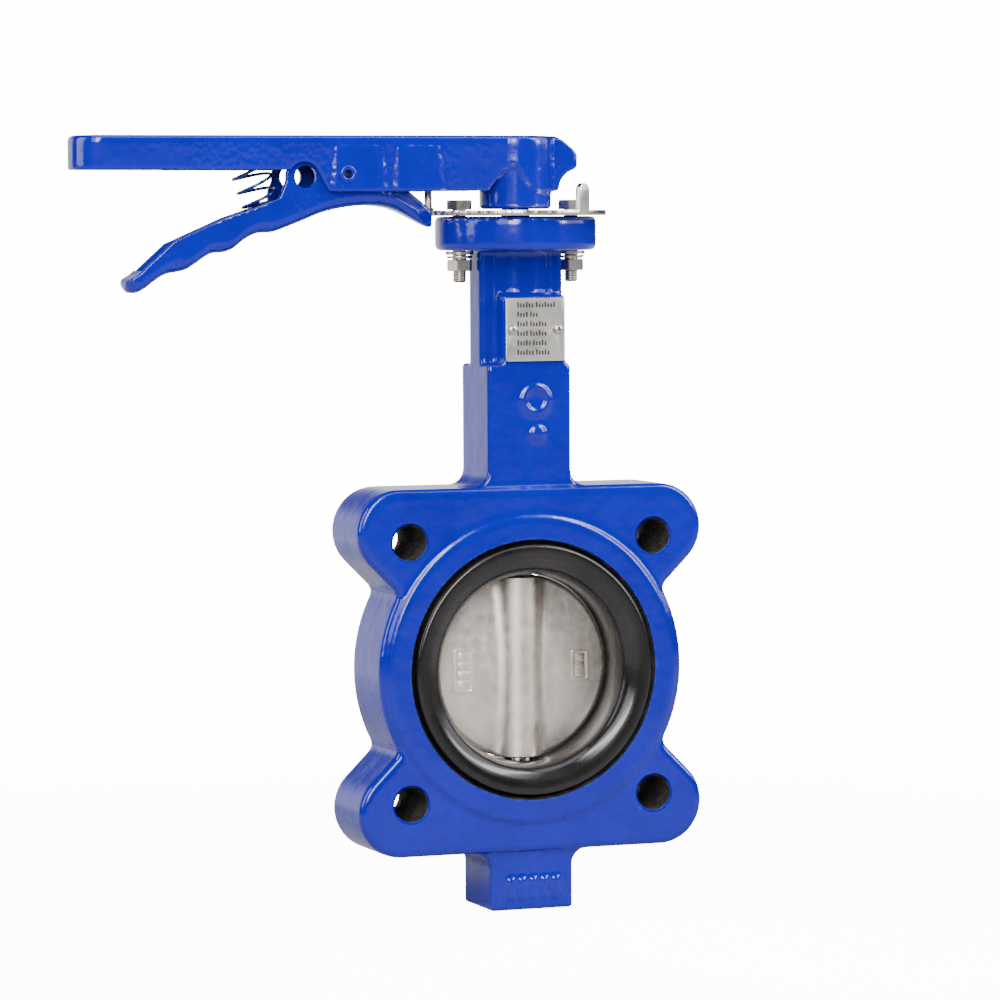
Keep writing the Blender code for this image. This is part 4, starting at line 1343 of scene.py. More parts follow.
@dataclass
class NotchedPlate:
    """The cut and bent plate that the latch runs on, with ten notches and two upturned stops."""

    bottom: float = 196.9 * MM
    thickness: float = 2.3 * MM
    radius: float = 39.48 * MM
    notch_rim: float = 38.4 * MM
    notch_root: float = 35.6 * MM
    notch_width: float = 3.8 * MM
    notches: int = 10
    tab_width: float = 6.5 * MM
    tab_top: float = 210.7 * MM
    tab_lead: float = 28.2
    hub_hole: float = 10.0 * MM
    bolt_hole: float = 3.5 * MM
    bolt_spread: float = 26.0 * MM

    def outline(self) -> Outline:
        """The plate's rim, with its notches from the closed to the open position.

        Returns:
            The closed outline as (x, y) pairs.
        """
        half = self.notch_width / 2
        points: Outline = []
        rim_turn = math.degrees(math.asin(half / self.notch_rim))
        root_turn = math.degrees(math.asin(half / self.notch_root))
        for index in range(self.notches):
            middle = 180.0 + 10.0 * index
            points += arc((0, 0), self.notch_root, middle - root_turn, middle + root_turn, 3.0)
            if index < self.notches - 1:
                points += arc((0, 0), self.notch_rim, middle + rim_turn, middle + 10.0 - rim_turn, 1.5)
        points += arc((0, 0), self.notch_rim, 270.0 + rim_turn, 277.0, 2.0)
        points += arc((0, 0), self.radius, 279.0, 531.0, 3.0)
        points += arc((0, 0), self.notch_rim, 533.0, 540.0 - rim_turn, 2.0)
        return points

    def stop(self, angle: float) -> bpy.types.Object:
        """One upturned stop with a rounded top.

        Args:
            angle: where it stands round the plate, in degrees.

        Returns:
            The stop.
        """
        half = self.tab_width / 2
        foot = self.bottom + 0.4 * MM
        outline = [(-half, foot), (half, foot), *arc((0, self.tab_top - half), half, 0.0, 180.0, 10.0)]
        outer = -self.radius
        tab = extruded(outline, outer, outer + self.thickness, Axis.Y)
        low, high = self.bottom + 0.5 * MM, self.bottom + self.thickness + 1.4 * MM
        heel = extruded([(-half, low), (half, low), (half, high), (-half, high)],
                        outer + 0.5 * MM, outer + self.thickness + 0.9 * MM, Axis.Y)
        combine(tab, Combine.ADD, eased(heel, 0.8 * MM))
        tab.data.transform(Matrix.Rotation(math.radians(angle + 90), 4, "Z"))
        return tab

    def build(self, finishes: Finishes) -> None:
        """Builds and dresses the plate.

        Args:
            finishes: the valve's finishes.
        """
        top = self.bottom + self.thickness
        plate = extruded(self.outline(), self.bottom, top)
        combine(plate, Combine.ADD, self.stop(180.0 - self.tab_lead), self.stop(270.0 + self.tab_lead))
        below, above = self.bottom - 1 * MM, top + 1 * MM
        combine(plate, Combine.CUT, cylinder(self.hub_hole, below, above))
        for side in (-1, 1):
            hole = cylinder(self.bolt_hole, below, above, at=(side * self.bolt_spread, 0.0), steps=40)
            combine(plate, Combine.CUT, hole)
        eased(plate, 0.18 * MM, 2, 50.0)
        dress(plate, "notched_plate", Carrier.VALVE, finishes.plate_steel, ["notch_plate"], 30.0)


@dataclass
class FlangeFasteners:
    """Two hexagon bolts through plate and flange, each with a washer, a spring washer and a nut."""

    spread: float = 26.0 * MM
    seat: float = 199.5 * MM
    head: float = 4.2 * MM
    across: float = 10.0 * MM
    thread: float = 3.0 * MM
    core: float = 2.55 * MM
    pitch: float = 1.0 * MM
    flange_bottom: float = 181.8 * MM
    gap: float = 0.3 * MM
    washer: float = 1.5 * MM
    washer_outer: float = 6.1 * MM
    spring_outer: float = 5.5 * MM
    nut: float = 5.0 * MM
    overhang: float = 4.9 * MM

    def split_washer(self, low: float, high: float) -> bpy.types.Object:
        """A spring washer: one turn of square wire, its ends set apart.

        Args:
            low: its underside.
            high: its top.

        Returns:
            The washer.
        """
        inner, outer = self.thread + self.gap, self.spring_outer
        middle = (inner + outer) / 2
        half = (outer - inner) / 2
        thick = (high - low) * 0.72
        steps = 60
        path, outward = [], []
        for i in range(steps + 1):
            angle = math.radians(8.0 + 344.0 * i / steps)
            rise = (high - low - thick) * i / steps
            out = Vector((math.cos(angle), math.sin(angle), 0.0))
            path.append(out * middle + Vector((0, 0, low + thick / 2 + rise)))
            outward.append(out)
        section = [(-half, -thick / 2), (half, -thick / 2), (half, thick / 2), (-half, thick / 2)]
        return eased(swept(path, section, outward), 0.12 * MM, 2, 50.0)

    def build(self, finishes: Finishes) -> None:
        """Builds and dresses both sets.

        Args:
            finishes: the valve's finishes.
        """
        washer_top = self.flange_bottom - self.gap
        spring_top = washer_top - self.washer - self.gap
        nut_top = spring_top - self.washer - self.gap
        nut_bottom = nut_top - self.nut
        tip = nut_bottom - self.overhang
        hole = self.thread + self.gap
        for side, word in ((-1, "left"), (1, "right")):
            head = hexagon(self.across, self.seat, self.seat + self.head)
            shank = cylinder(self.thread - 0.05 * MM, nut_top, self.seat + 1 * MM, steps=48)
            thread = threaded_bar(self.core, self.thread - 0.02 * MM, self.pitch, tip, nut_top + 1 * MM, 36)
            combine(thread, Combine.KEEP, pointed_bar(self.thread, tip, nut_top + 1 * MM))
            bolt = combine(head, Combine.ADD, shank, thread)
            pieces = {
                "flange_bolt": bolt,
                "flange_washer": flat_ring(hole, self.washer_outer, washer_top - self.washer, washer_top, 64),
                "spring_washer": self.split_washer(spring_top - self.washer, spring_top),
                "flange_nut": combine(hexagon(self.across, nut_bottom, nut_top, True), Combine.CUT,
                                      cylinder(hole, nut_bottom - 1 * MM, nut_top + 1 * MM)),
            }
            for kind, piece in pieces.items():
                piece.data.transform(Matrix.Translation((side * self.spread, 0, 0)))
                node = f"{kind}_{word}"
                dress(piece, f"{node}_steel", Carrier.VALVE, finishes.bolt_steel, [node], 28.0)


@dataclass
class NamePlate:
    """A square steel plate on the neck, with plain etched bars in place of words, and two rivets."""

    size: float = 27.4 * MM
    corner: float = 1.2 * MM
    thickness: float = 0.8 * MM
    centre: Pair = (2.3 * MM, 147.6 * MM)
    back: float = -17.3 * MM
    rivet_spread: float = 10.6 * MM
    rivet_hole: float = 1.3 * MM
    rows: tuple[tuple[int, int], ...] = ((6, 7), (4, 3), (4, 6), (4, 6), (5, 5), (6, 5))

    def etched_bars(self, face: float) -> bpy.types.Object:
        """Six rows of plain upright dashes, like a form that holds no words.

        Args:
            face: the height of the plate's front face.

        Returns:
            All the dashes as one mesh.
        """
        dashes = []
        pitch, width, gap = 1.34 * MM, 0.78 * MM, 0.6 * MM
        tall, short = 2.3 * MM, 1.7 * MM
        for index, counts in enumerate(self.rows):
            low = self.centre[1] + (9.6 - 4.1 * index) * MM
            start = self.centre[0] - 8.5 * MM
            for count in counts:
                for dash in range(count):
                    high = low + (tall if dash % 3 == 0 else short)
                    left = start + dash * pitch
                    dashes.append(block((left, face - 0.03 * MM, low), (left + width, face + 0.2 * MM, high)))
                start += count * pitch + gap
        return gather(*dashes)

    def build(self, finishes: Finishes) -> None:
        """Builds and dresses the plate, its bars and its rivets.

        Args:
            finishes: the valve's finishes.
        """
        x, z = self.centre
        outline = rounded_rectangle(self.size / 2, self.size / 2, self.corner, self.centre)
        sheet = extruded(outline, self.back - self.thickness, self.back, Axis.Y)
        for side in (-1, 1):
            hole = cylinder(self.rivet_hole, self.back - 2 * MM, self.back + 1 * MM, Axis.Y,
                            (x + side * self.rivet_spread, z), 32)
            combine(sheet, Combine.CUT, hole)
        eased(sheet, 0.16 * MM, 2, 50.0)
        dress(sheet, "label_plate", Carrier.VALVE, finishes.label_steel, ["name_plate"], 30.0)
        bars = self.etched_bars(self.back - self.thickness)
        dress(bars, "label_bars", Carrier.VALVE, finishes.etch_ink)
        for side, word in ((-1, "left"), (1, "right")):
            head = self.back - self.thickness - 0.3 * MM
            dome = [(0.0, head + 4.4 * MM), (1.0 * MM, head + 4.4 * MM), (1.0 * MM, head), (1.95 * MM, head),
                    (2.0 * MM, head - 0.15 * MM), (1.85 * MM, head - 0.55 * MM), (1.5 * MM, head - 0.85 * MM),
                    (0.95 * MM, head - 1.07 * MM), (0.35 * MM, head - 1.12 * MM), (0.0, head - 1.05 * MM)]
            rivet = turned(dome, Axis.Y, 48, (x + side * self.rivet_spread, z))
            dress(rivet, f"label_rivet_{word}", Carrier.VALVE, finishes.plate_steel,
                  [f"name_plate_rivet_{word}"], 50.0)


# ---------------------------------------------------------------- lever


@dataclass
class LeverCasting:
    """The cast lever: an open-bottomed channel with a solid head, a hub boss and a rear beak."""

    end: float = -200.2 * MM
    top: float = 231.5 * MM
    half_width: float = 14.2 * MM
    lean: float = 1.1 * MM
    end_corner: float = 11.5 * MM
    wall: float = 2.5 * MM
    roof: float = 3.0 * MM
    shallow: float = 216.8 * MM
    deep: float = 207.4 * MM
    head_radius: float = 16.6 * MM
    hub_radius: float = 15.6 * MM
    hub_bottom: float = 199.7 * MM
    recess_radius: float = 8.5 * MM
    recess_floor: float = 225.5 * MM
    lock_eye: Pair = (-99.8 * MM, 213.8 * MM)
    pivot: Pair = (-81.7 * MM, 214.9 * MM)
    pivot_hole: float = 3.2 * MM
    side_bosses: tuple[Pair, ...] = ((-86.0 * MM, -67.0 * MM), (-58.0 * MM, -41.0 * MM))
    boss_rise: float = 0.65 * MM
    rounding: float = 2.4 * MM
    square: float = 9.6 * MM
    grain: float = 0.55 * MM
    softening: int = 8

    def plan(self, inset: float, right: float) -> Outline:
        """The channel seen from above.

        Args:
            inset: how far its sides and its left end are drawn in.
            right: the x at which it stops.

        Returns:
            The closed outline as (x, y) pairs.
        """
        half = self.half_width - inset
        corner = self.end_corner - inset
        left = self.end + inset
        return [
            (right, half),
            *arc((left + corner, half - corner), corner, 90.0, 180.0, 8.0),
            *arc((left + corner, corner - half), corner, 180.0, 270.0, 8.0),
            (right, -half),
        ]

    def side_view(self) -> Outline:
        """The lever's side view: shallow grip, arch over the lock eye, deep middle and head skirt.

        Returns:
            The closed outline as (x, z) pairs.
        """
        beak = flowing(millimetres([(15.5, 231.9), (21.0, 228.5), (26.6, 223.2), (26.6, 218.2), (21.6, 215.4),
                                    (18.6, 212.0), (17.4, 207.6)]))
        skirt = flowing(millimetres([(13.0, 207.2), (7.0, 207.0), (0.5, 210.5), (-4.5, 217.6), (-6.5, 219.0),
                                     (-9.5, 217.2), (-17.2, 207.4)]))
        arch = arc((self.lock_eye[0] - 1.0 * MM, self.shallow - 3.6 * MM), 6.8 * MM, 38.0, 150.0, 8.0)
        return [
            (self.end - 5 * MM, self.top + 5 * MM),
            (15.5 * MM, self.top + 5 * MM),
            *beak,
            *skirt,
            (-89.8 * MM, self.deep),
            *arch,
            (self.end - 5 * MM, self.shallow),
        ]

    def outer(self) -> bpy.types.Object:
        """The solid outer form, its side walls leaning in a little towards the bottom.

        Returns:
            The form.
        """
        low = self.deep - 2 * MM
        bar = eased(extruded(self.plan(0.0, 0.0), low, self.top), self.rounding)
        depth = self.top - low
        for point in bar.data.vertices:
            drop = (self.top - point.co.z) / depth
            point.co.y *= 1.0 - self.lean / self.half_width * drop
        head = eased(cylinder(self.head_radius, low, self.top - 0.05 * MM), self.rounding)
        beak = eased(block((-5 * MM, -8 * MM, low), (26.8 * MM, 8 * MM, self.top - 0.1 * MM)), self.rounding)
        combine(bar, Combine.ADD, head, beak)
        face = self.half_width + self.boss_rise
        for left, right in self.side_bosses:
            side = [(left - 6.5 * MM, face - 2.6 * MM), (left - 5.4 * MM, face - 2.1 * MM),
                    (left - 1.0 * MM, face - 0.4 * MM), (left + 1.0 * MM, face), (right - 2.0 * MM, face),
                    (right + 1.0 * MM, face - 0.5 * MM), (right + 6.0 * MM, face - 2.1 * MM),
                    (right + 7.2 * MM, face - 2.6 * MM)]
            boss = extruded(mirrored(side), low, self.top - 4 * MM)
            combine(bar, Combine.ADD, eased(boss, 1.2 * MM, angle=60.0))
        return combine(bar, Combine.KEEP, extruded(self.side_view(), -30 * MM, 30 * MM, Axis.Y))

    def build(self, finishes: Finishes) -> None:
        """Builds and dresses the lever.

        Args:
            finishes: the valve's finishes.
        """
        lever = self.outer()
        hollow = extruded(self.plan(self.wall, -18 * MM), self.deep - 7 * MM, self.top - self.roof)
        combine(lever, Combine.CUT, hollow)
        edge = 1.6 * MM
        inside = self.recess_floor - 1 * MM
        hub = turned([(0.0, self.hub_bottom),
                      *arc((self.hub_radius - edge, self.hub_bottom + edge), edge, -90.0, 0.0, 15.0),
                      (self.hub_radius, inside), (0.0, inside)])
        combine(lever, Combine.ADD, hub)
        cast_skin(lever, self.grain, self.softening)
        thinned(paint(lever, finishes.lever_enamel), 0.7)
        half = self.square / 2
        chamfer = 0.8 * MM
        recess = [(0.0, self.recess_floor), (self.recess_radius, self.recess_floor),
                  (self.recess_radius, self.top - chamfer),
                  (self.recess_radius + 2 * chamfer, self.top + chamfer), (0.0, self.top + chamfer)]
        tools = [
            block((-half, -half, self.hub_bottom - 2 * MM), (half, half, self.recess_floor + 1 * MM)),
            turned(recess),
            cylinder(self.pivot_hole, -20 * MM, 20 * MM, Axis.Y, self.pivot, 40),
        ]
        combine(lever, Combine.CUT, *tools)
        dress(lever, "lever_casting", Carrier.STEM_LINE, finishes.lever_enamel, ["lever"], 50.0)


@dataclass
class LeverScrew:
    """The screw and washer sunk in the lever's head."""

    washer_low: float = 225.8 * MM
    washer_high: float = 227.3 * MM
    washer_hole: float = 3.0 * MM
    washer_outer: float = 7.9 * MM
    seat: float = 227.6 * MM
    head: float = 3.2 * MM
    across: float = 8.0 * MM
    core: float = 2.0 * MM
    thread: float = 2.3 * MM
    pitch: float = 0.8 * MM
    tip: float = 210.0 * MM

    def build(self, finishes: Finishes) -> None:
        """Builds and dresses the screw and its washer.

        Args:
            finishes: the valve's finishes.
        """
        washer = flat_ring(self.washer_hole, self.washer_outer, self.washer_low, self.washer_high)
        dress(washer, "lever_washer_steel", Carrier.STEM_LINE, finishes.bolt_steel, ["lever_washer"], 30.0)
        screw = hexagon(self.across, self.seat, self.seat + self.head)
        start = self.seat - 1 * MM
        thread = threaded_bar(self.core, self.thread, self.pitch, self.tip, start, 32)
        combine(thread, Combine.KEEP, pointed_bar(self.thread, self.tip, start))
        shank = cylinder(self.thread - 0.05 * MM, self.seat - 2 * MM, self.seat + 1 * MM, steps=40)
        combine(screw, Combine.ADD, shank, thread)
        dress(screw, "lever_screw_steel", Carrier.STEM_LINE, finishes.bolt_steel, ["lever_screw"], 28.0)


# ---------------------------------------------------------------- trigger, pivot pin and spring


@dataclass
class TriggerCasting:
    """The squeeze trigger: a round-bottomed channel with a padlock eye in each side wall."""

    half_width: float = 11.3 * MM
    grip_half_width: float = 8.3 * MM
    wall: float = 2.0 * MM
    floor: float = 2.4 * MM
    belly: float = 4.2 * MM
    lock_eye: Pair = (-99.8 * MM, 213.8 * MM)
    eye_radius: float = 8.6 * MM
    lock_hole: float = 4.8 * MM
    pivot: Pair = (-81.7 * MM, 214.9 * MM)
    pivot_boss: float = 6.2 * MM
    pivot_hole: float = 3.2 * MM
    far_drop: float = 1.1 * MM
    sweep: Pair = (-112.0 * MM, 30.0 * MM)
    hollow_span: Pair = (-172.0 * MM, -57.0 * MM)
    under: float = 150.0 * MM
    over: float = 240.0 * MM
    grain: float = 0.5 * MM
    softening: int = 8
    underside: tuple[Pair, ...] = (
        (-177.6, 166.2), (-174.4, 164.7), (-170.0, 166.4), (-165.6, 169.6), (-160.6, 172.6), (-155.6, 173.6),
        (-151.2, 174.6), (-146.7, 177.4), (-140.5, 181.2), (-135.0, 181.8), (-130.6, 183.4), (-126.1, 187.0),
        (-120.5, 189.8), (-114.3, 190.2), (-109.8, 191.5), (-99.7, 195.3), (-91.3, 198.5), (-82.3, 200.5),
        (-73.2, 201.5), (-66.0, 201.4), (-59.6, 200.4), (-54.1, 198.5), (-47.7, 195.3))
    far_rim: tuple[Pair, ...] = (
        (-110.0, 204.4), (-122.1, 200.6), (-131.6, 197.6), (-144.9, 192.0), (-157.3, 186.6), (-165.4, 179.4),
        (-170.6, 174.7))

    def finger_line(self, lift: float) -> Outline:
        """The waved underside from tail to nose, raised by a lift."""
        return [(x, z + lift) for x, z in flowing(millimetres(self.underside), 4)]

    def side_view(self, lift: float) -> Outline:
        """The trigger's side view, with its underside raised by a lift.

        Args:
            lift: how far the underside is raised.

        Returns:
            The closed outline as (x, z) pairs.
        """
        eye = arc(self.lock_eye, self.eye_radius, 20.0, 190.0, 8.0)
        boss = arc(self.pivot, self.pivot_boss, 40.0, 150.0, 10.0)
        nose = millimetres([(-42.6, 192.7), (-40.2, 191.9), (-39.1, 192.8), (-39.1, 199.0)])
        top = millimetres([(-44.6, 203.3), (-51.0, 207.7), (-64.0, 212.5)])
        grip = millimetres([(-111.3, 204.8), (-122.1, 200.6), (-131.6, 197.6), (-144.9, 192.0),
                            (-157.3, 186.6), (-165.4, 179.4), (-172.6, 172.9), (-176.6, 170.6)])
        drawn_in = lift * 0.4
        tail = [(-178.5 * MM + drawn_in, 168.2 * MM + drawn_in)]
        line = [(x + drawn_in * (x < self.hollow_span[0]), z) for x, z in self.finger_line(lift)]
        return line + nose + top + boss + eye + grip + tail

    def plan(self, inset: float) -> Outline:
        """The trigger seen from above, drawn in at the sides by an inset.

        Args:
            inset: how far each side is drawn in.

        Returns:
            The closed outline as (x, y) pairs.
        """
        wide, grip, end = self.half_width - inset, self.grip_half_width - inset, 4.4 * MM
        side = [(-38.0 * MM, 1.7 * MM), (-44.0 * MM, 3.2 * MM), (-50.0 * MM, 5.4 * MM - inset / 2),
                (-58.0 * MM, 8.4 * MM - inset), (-68.0 * MM, wide)]
        start, length = self.sweep
        for step in range(13):
            share = step / 12
            side.append((start - length * share, wide + (grip - wide) * (3 * share ** 2 - 2 * share ** 3)))
        side += arc((-178.6 * MM + end + inset / 2, grip - end), end, 90.0, 180.0, 12.0)
        return side + [(x, -y) for x, y in reversed(side)]

    def outer(self) -> bpy.types.Object:
        """The solid outer form, rounded along its underside by a stack of ever narrower layers.

        Returns:
            The overlapping layers as one mesh.
        """
        layers = []
        for turn in (5.0, 20.0, 35.0, 50.0, 65.0, 82.0):
            lift = self.belly * (1.0 - math.cos(math.radians(turn)))
            inset = self.belly * (1.0 - math.sin(math.radians(turn)))
            layer = extruded(self.side_view(lift), -20 * MM, 20 * MM, Axis.Y)
            layers.append(combine(layer, Combine.KEEP, extruded(self.plan(inset), self.under, self.over)))
        return gather(*layers)

    def build(self, finishes: Finishes) -> None:
        """Builds and dresses the trigger.

        Args:
            finishes: the valve's finishes.
        """
        trigger = cast_skin(self.outer(), self.grain, self.softening)
        past = 15 * MM
        left, right = self.hollow_span
        line = [(x, z) for x, z in self.finger_line(self.floor) if left < x < right]
        hollow = extruded(line + [(line[-1][0], self.over), (line[0][0], self.over)], -past, past, Axis.Y)
        combine(hollow, Combine.KEEP, extruded(self.plan(self.wall), self.under, self.over + 1 * MM))
        combine(trigger, Combine.CUT, hollow)
        lowered = [(x, z - self.far_drop) for x, z in millimetres(self.far_rim)]
        slab = lowered + [(lowered[-1][0], self.over), (lowered[0][0], self.over)]
        combine(trigger, Combine.CUT, extruded(slab, 0.0, past, Axis.Y))
        paint(trigger, finishes.lever_enamel)
        combine(trigger, Combine.CUT,
                cylinder(self.lock_hole, -20 * MM, 20 * MM, Axis.Y, self.lock_eye, 48),
                cylinder(self.pivot_hole, -20 * MM, 20 * MM, Axis.Y, self.pivot, 40))
        dress(trigger, "trigger_casting", Carrier.TRIGGER, finishes.lever_enamel, ["trigger"], 50.0)


@dataclass
class PivotPin:
    """The tubular rivet that the trigger turns on, its ends rolled over outside the lever."""

    centre: Pair = (-81.7 * MM, 214.9 * MM)
    bore: float = 1.8 * MM
    shank: float = 2.9 * MM
    lip: float = 3.75 * MM
    half: float = 14.5 * MM
    reach: float = 15.3 * MM

    def build(self, finishes: Finishes) -> None:
        """Builds and dresses the pin.

        Args:
            finishes: the valve's finishes.
        """
        middle = (self.bore + self.lip) / 2
        wide = (self.lip - self.bore) / 2
        tall = self.reach - self.half
        lip = [(middle + u, self.half + v * tall / wide) for u, v in arc((0.0, 0.0), wide, 0.0, 180.0, 15.0)]
        mouth = self.half - 0.2 * MM
        upper = [(self.shank, 0.0), (self.shank, self.half), *lip, (self.bore, mouth)]
        lower = [(r, -h) for r, h in reversed(upper)][:-1]
        pin = turned(upper + lower, Axis.Y, 56, self.centre)
        dress(pin, "pivot_rivet", Carrier.STEM_LINE, finishes.body_enamel, ["trigger_pivot_pin"], 40.0)


@dataclass
class TriggerSpring:
    """The compression spring between the trigger's floor and the lever's roof, closed at both ends."""

    mean: float = 8.0 * MM
    wire: float = 0.7 * MM
    foot: Triple = (-114.2 * MM, 0.0, 197.0 * MM)
    tilt: float = 19.5
    length: float = 28.8 * MM
    turns: int = 6
    start: float = -120.0
    squeezed: float = 0.80

    def build(self, finishes: Finishes) -> None:
        """Builds and dresses the spring.

        Args:
            finishes: the valve's finishes.
        """
        steps = 40
        lean = Matrix.Rotation(-math.radians(self.tilt), 3, "Y")
        closed = 2 * self.wire + 0.35 * MM
        free = (self.length - 2 * closed) / (self.turns - 2)
        foot = Vector(self.foot)
        path, outward = [], []
        for index in range(self.turns * steps + 1):
            turn = index / steps
            climb = closed * min(turn, 1.0) + free * min(max(turn - 1.0, 0.0), self.turns - 2)
            climb += closed * max(turn - self.turns + 1, 0.0)
            angle = math.radians(self.start) + 2 * math.pi * turn
            out = Vector((math.cos(angle), math.sin(angle), 0.0))
            path.append(foot + lean @ (out * self.mean + Vector((0, 0, climb))))
            outward.append(lean @ out)
        spring = swept(path, arc((0.0, 0.0), self.wire, 0.0, 330.0, 30.0), outward)
        # Its enamel is darkened as painted shade for the shadow between lever and trigger.
        dress(spring, "trigger_coil", Carrier.STEM_LINE, finishes.spring_enamel, ["trigger_spring"], 60.0)
        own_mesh(spring)


# ---------------------------------------------------------------- inner pieces, studio and camera


@dataclass
class InnerPieces:
    """The stems, bushes, seal rings and circlip, which keep the frame's shapes."""

    def build(self, finishes: Finishes, nodes: dict[str, bpy.types.Object]) -> None:
        """Gives each carried-over piece its finish.

        Args:
            finishes: the valve's finishes.
            nodes: the frame's nodes by name.
        """
        wanted = {
            "upper_stem": finishes.stem_steel,
            "lower_stem": finishes.stem_steel,
            "stem_circlip": finishes.bolt_steel,
            "stem_bush_top": finishes.bush_polymer,
            "stem_bush_middle": finishes.bush_polymer,
            "stem_bush_bottom": finishes.bush_polymer,
            "stem_seal_ring_1": finishes.seat_rubber,
            "stem_seal_ring_2": finishes.seat_rubber,
        }
        for name, finish in wanted.items():
            node = nodes[name]
            if not node.material_slots:
                node.data.materials.append(finish)
            for slot in node.material_slots:
                slot.link = "OBJECT"
                slot.material = finish
            LOG.info("%s: carried over with %s", name, finish.name)


@dataclass(frozen=True)
class SoftLamp:
    """A soft rectangular lamp: its bearing runs from -Y towards +X, in degrees; lengths are in metres."""

    name: str
    bearing: float
    away: float
    height: float
    size: Pair
    glow: float

    def build(self, target: Triple) -> None:
        """Adds the lamp, unseen by the camera.

        Args:
            target: the place it faces.
        """
        light = bpy.data.lights.new(self.name, "AREA")
        light.shape = "RECTANGLE"
        light.size, light.size_y = self.size
        light.energy = self.glow * math.pi * self.size[0] * self.size[1]
        lamp = bpy.data.objects.new(self.name, light)
        turn = math.radians(self.bearing)
        place = Vector((math.sin(turn) * self.away, -math.cos(turn) * self.away, self.height))
        lamp.location = place
        lamp.rotation_euler = (Vector(target) - place).to_track_quat("-Z", "Y").to_euler()
        lamp.visible_camera = False
        bpy.context.scene.collection.objects.link(lamp)


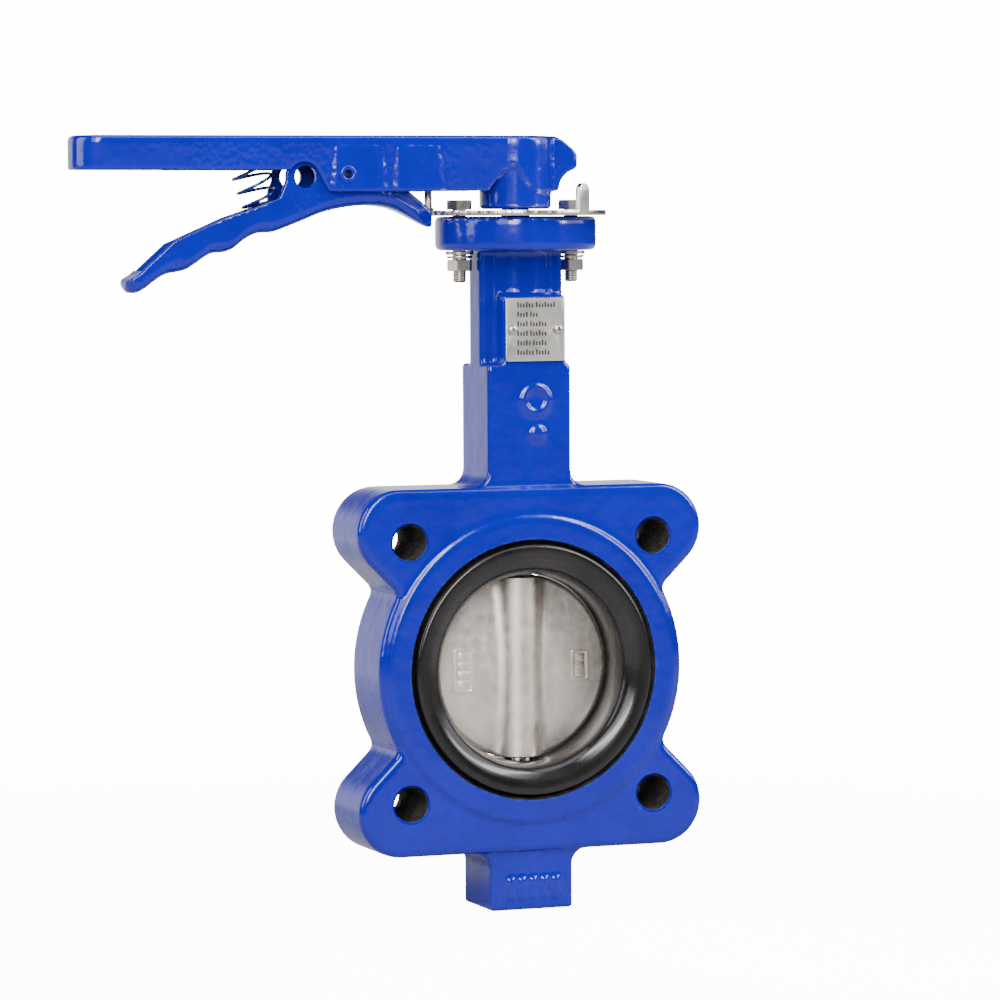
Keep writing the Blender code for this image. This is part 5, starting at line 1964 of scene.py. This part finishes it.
@dataclass
class Studio:
    """A pale floor, soft lamps that stand round the valve and a bright background."""

    floor_level: float = -105.4 * MM
    floor_drop: float = 0.2 * MM
    floor_radius: float = 1.2
    white: float = 16.0
    behind: float = 1.45
    front: float = 0.05
    overhead: float = 0.12
    under: float = 0.8
    back_fade: Pair = (0.76, 1.0)
    top_fade: Pair = (0.38, 0.12)
    under_fade: Pair = (0.0, -0.15)
    target: Triple = (0.0, 0.0, 0.12)
    lamps: tuple[SoftLamp, ...] = (
        SoftLamp("left_softbox", -30.0, 1.6, 1.02, (1.15, 1.7), 4.6),
        SoftLamp("left_core", -24.0, 1.5, 0.98, (0.28, 1.5), 20.0),
        SoftLamp("side_softbox", -97.0, 1.5, 0.75, (1.0, 1.2), 5.0),
        SoftLamp("right_softbox", 69.0, 1.3, 0.92, (1.6, 1.5), 2.6),
        SoftLamp("right_core", 54.0, 1.2, 0.86, (0.26, 1.3), 16.0),
        SoftLamp("top_softbox", 0.0, 0.3, 1.6, (1.2, 1.0), 3.0),
    )

    def floor(self) -> None:
        """Lays the round floor under the valve's foot."""
        shape = bmesh.new()
        bmesh.ops.create_circle(shape, cap_ends=True, segments=96, radius=self.floor_radius)
        floor = new_piece("studio_floor", shape)
        floor.location.z = self.floor_level - self.floor_drop
        floor.data.materials.append(StudioFloor("studio_floor").make())

    def background(self) -> None:
        """A world that is white to the eye, and in reflections bright behind and dim in front."""
        world = bpy.data.worlds.new("studio")
        bpy.context.scene.world = world
        world.use_nodes = True
        tree = world.node_tree
        tree.nodes.clear()
        split = tree.nodes.new("ShaderNodeSeparateXYZ")
        tree.links.new(tree.nodes.new("ShaderNodeTexCoord").outputs["Generated"], split.inputs[0])
        levels = []
        for way, (start, end), low, high in (("Y", self.back_fade, self.front, self.behind),
                                             ("Z", self.top_fade, self.overhead, 1.0),
                                             ("Z", self.under_fade, 0.0, self.under)):
            level = tree.nodes.new("ShaderNodeMapRange")
            level.interpolation_type = "SMOOTHSTEP"
            tree.links.new(split.outputs[way], level.inputs["Value"])
            for key, number in (("From Min", start), ("From Max", end), ("To Min", low), ("To Max", high)):
                level.inputs[key].default_value = number
            levels.append(level.outputs[0])
        screen = tree.nodes.new("ShaderNodeMath")
        screen.operation = "MULTIPLY"
        glow = tree.nodes.new("ShaderNodeMath")
        glow.operation = "MAXIMUM"
        for socket, level in zip((*screen.inputs[:2], glow.inputs[1]), levels):
            tree.links.new(level, socket)
        tree.links.new(screen.outputs[0], glow.inputs[0])
        mix = tree.nodes.new("ShaderNodeMix")
        tree.links.new(tree.nodes.new("ShaderNodeLightPath").outputs["Is Camera Ray"], mix.inputs["Factor"])
        tree.links.new(glow.outputs[0], mix.inputs["A"])
        mix.inputs["B"].default_value = self.white
        shader = tree.nodes.new("ShaderNodeBackground")
        shader.inputs["Color"].default_value = shade(1.0, 1.0, 1.0)
        tree.links.new(mix.outputs[0], shader.inputs["Strength"])
        out = tree.nodes.new("ShaderNodeOutputWorld")
        tree.links.new(shader.outputs[0], out.inputs["Surface"])

    def build(self) -> None:
        """Sets up floor, lamps and background."""
        self.floor()
        self.background()
        for lamp in self.lamps:
            lamp.build(self.target)
        LOG.info("studio: floor, background and %d lamps", len(self.lamps))


@dataclass
class ViewCamera:
    """The camera, set by where it stands round the stem and how it is turned."""

    round_stem: float = 20.96
    distance: float = 2026.2 * MM
    height: float = 196.5 * MM
    swing: float = -0.2045
    dip: float = 3.4955
    roll: float = -0.275
    lens: float = 167.07
    sensor: float = 36.0

    def build(self) -> None:
        """Adds the camera and makes it the scene's own."""
        stand = math.radians(self.round_stem)
        heading = stand + math.radians(self.swing)
        dip, roll = math.radians(self.dip), math.radians(self.roll)
        ahead = Vector((math.sin(heading) * math.cos(dip), math.cos(heading) * math.cos(dip), -math.sin(dip)))
        level = Vector((math.cos(heading), -math.sin(heading), 0.0))
        right = math.cos(roll) * level + math.sin(roll) * level.cross(ahead)
        turn = Matrix((right, right.cross(ahead), -ahead)).transposed().to_4x4()
        turn.translation = (-math.sin(stand) * self.distance, -math.cos(stand) * self.distance, self.height)
        data = bpy.data.cameras.new("view_camera")
        data.lens = self.lens
        data.sensor_width = self.sensor
        data.clip_end = 30.0
        camera = bpy.data.objects.new("view_camera", data)
        camera.matrix_world = turn
        bpy.context.scene.collection.objects.link(camera)
        bpy.context.scene.camera = camera


def main() -> None:
    """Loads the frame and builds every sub-assembly."""
    logging.basicConfig(level=logging.INFO, format="%(message)s")
    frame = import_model()
    finishes = Finishes()
    for part in (BodyCasting(), SeatLiner(), DiscCasting(), NotchedPlate(), FlangeFasteners(), NamePlate(),
                 LeverCasting(), LeverScrew(), TriggerCasting(), PivotPin(), TriggerSpring()):
        part.build(finishes)
    InnerPieces().build(finishes, frame["nodes"])
    Studio().build()
    ViewCamera().build()


if __name__ == "__main__":
    main()
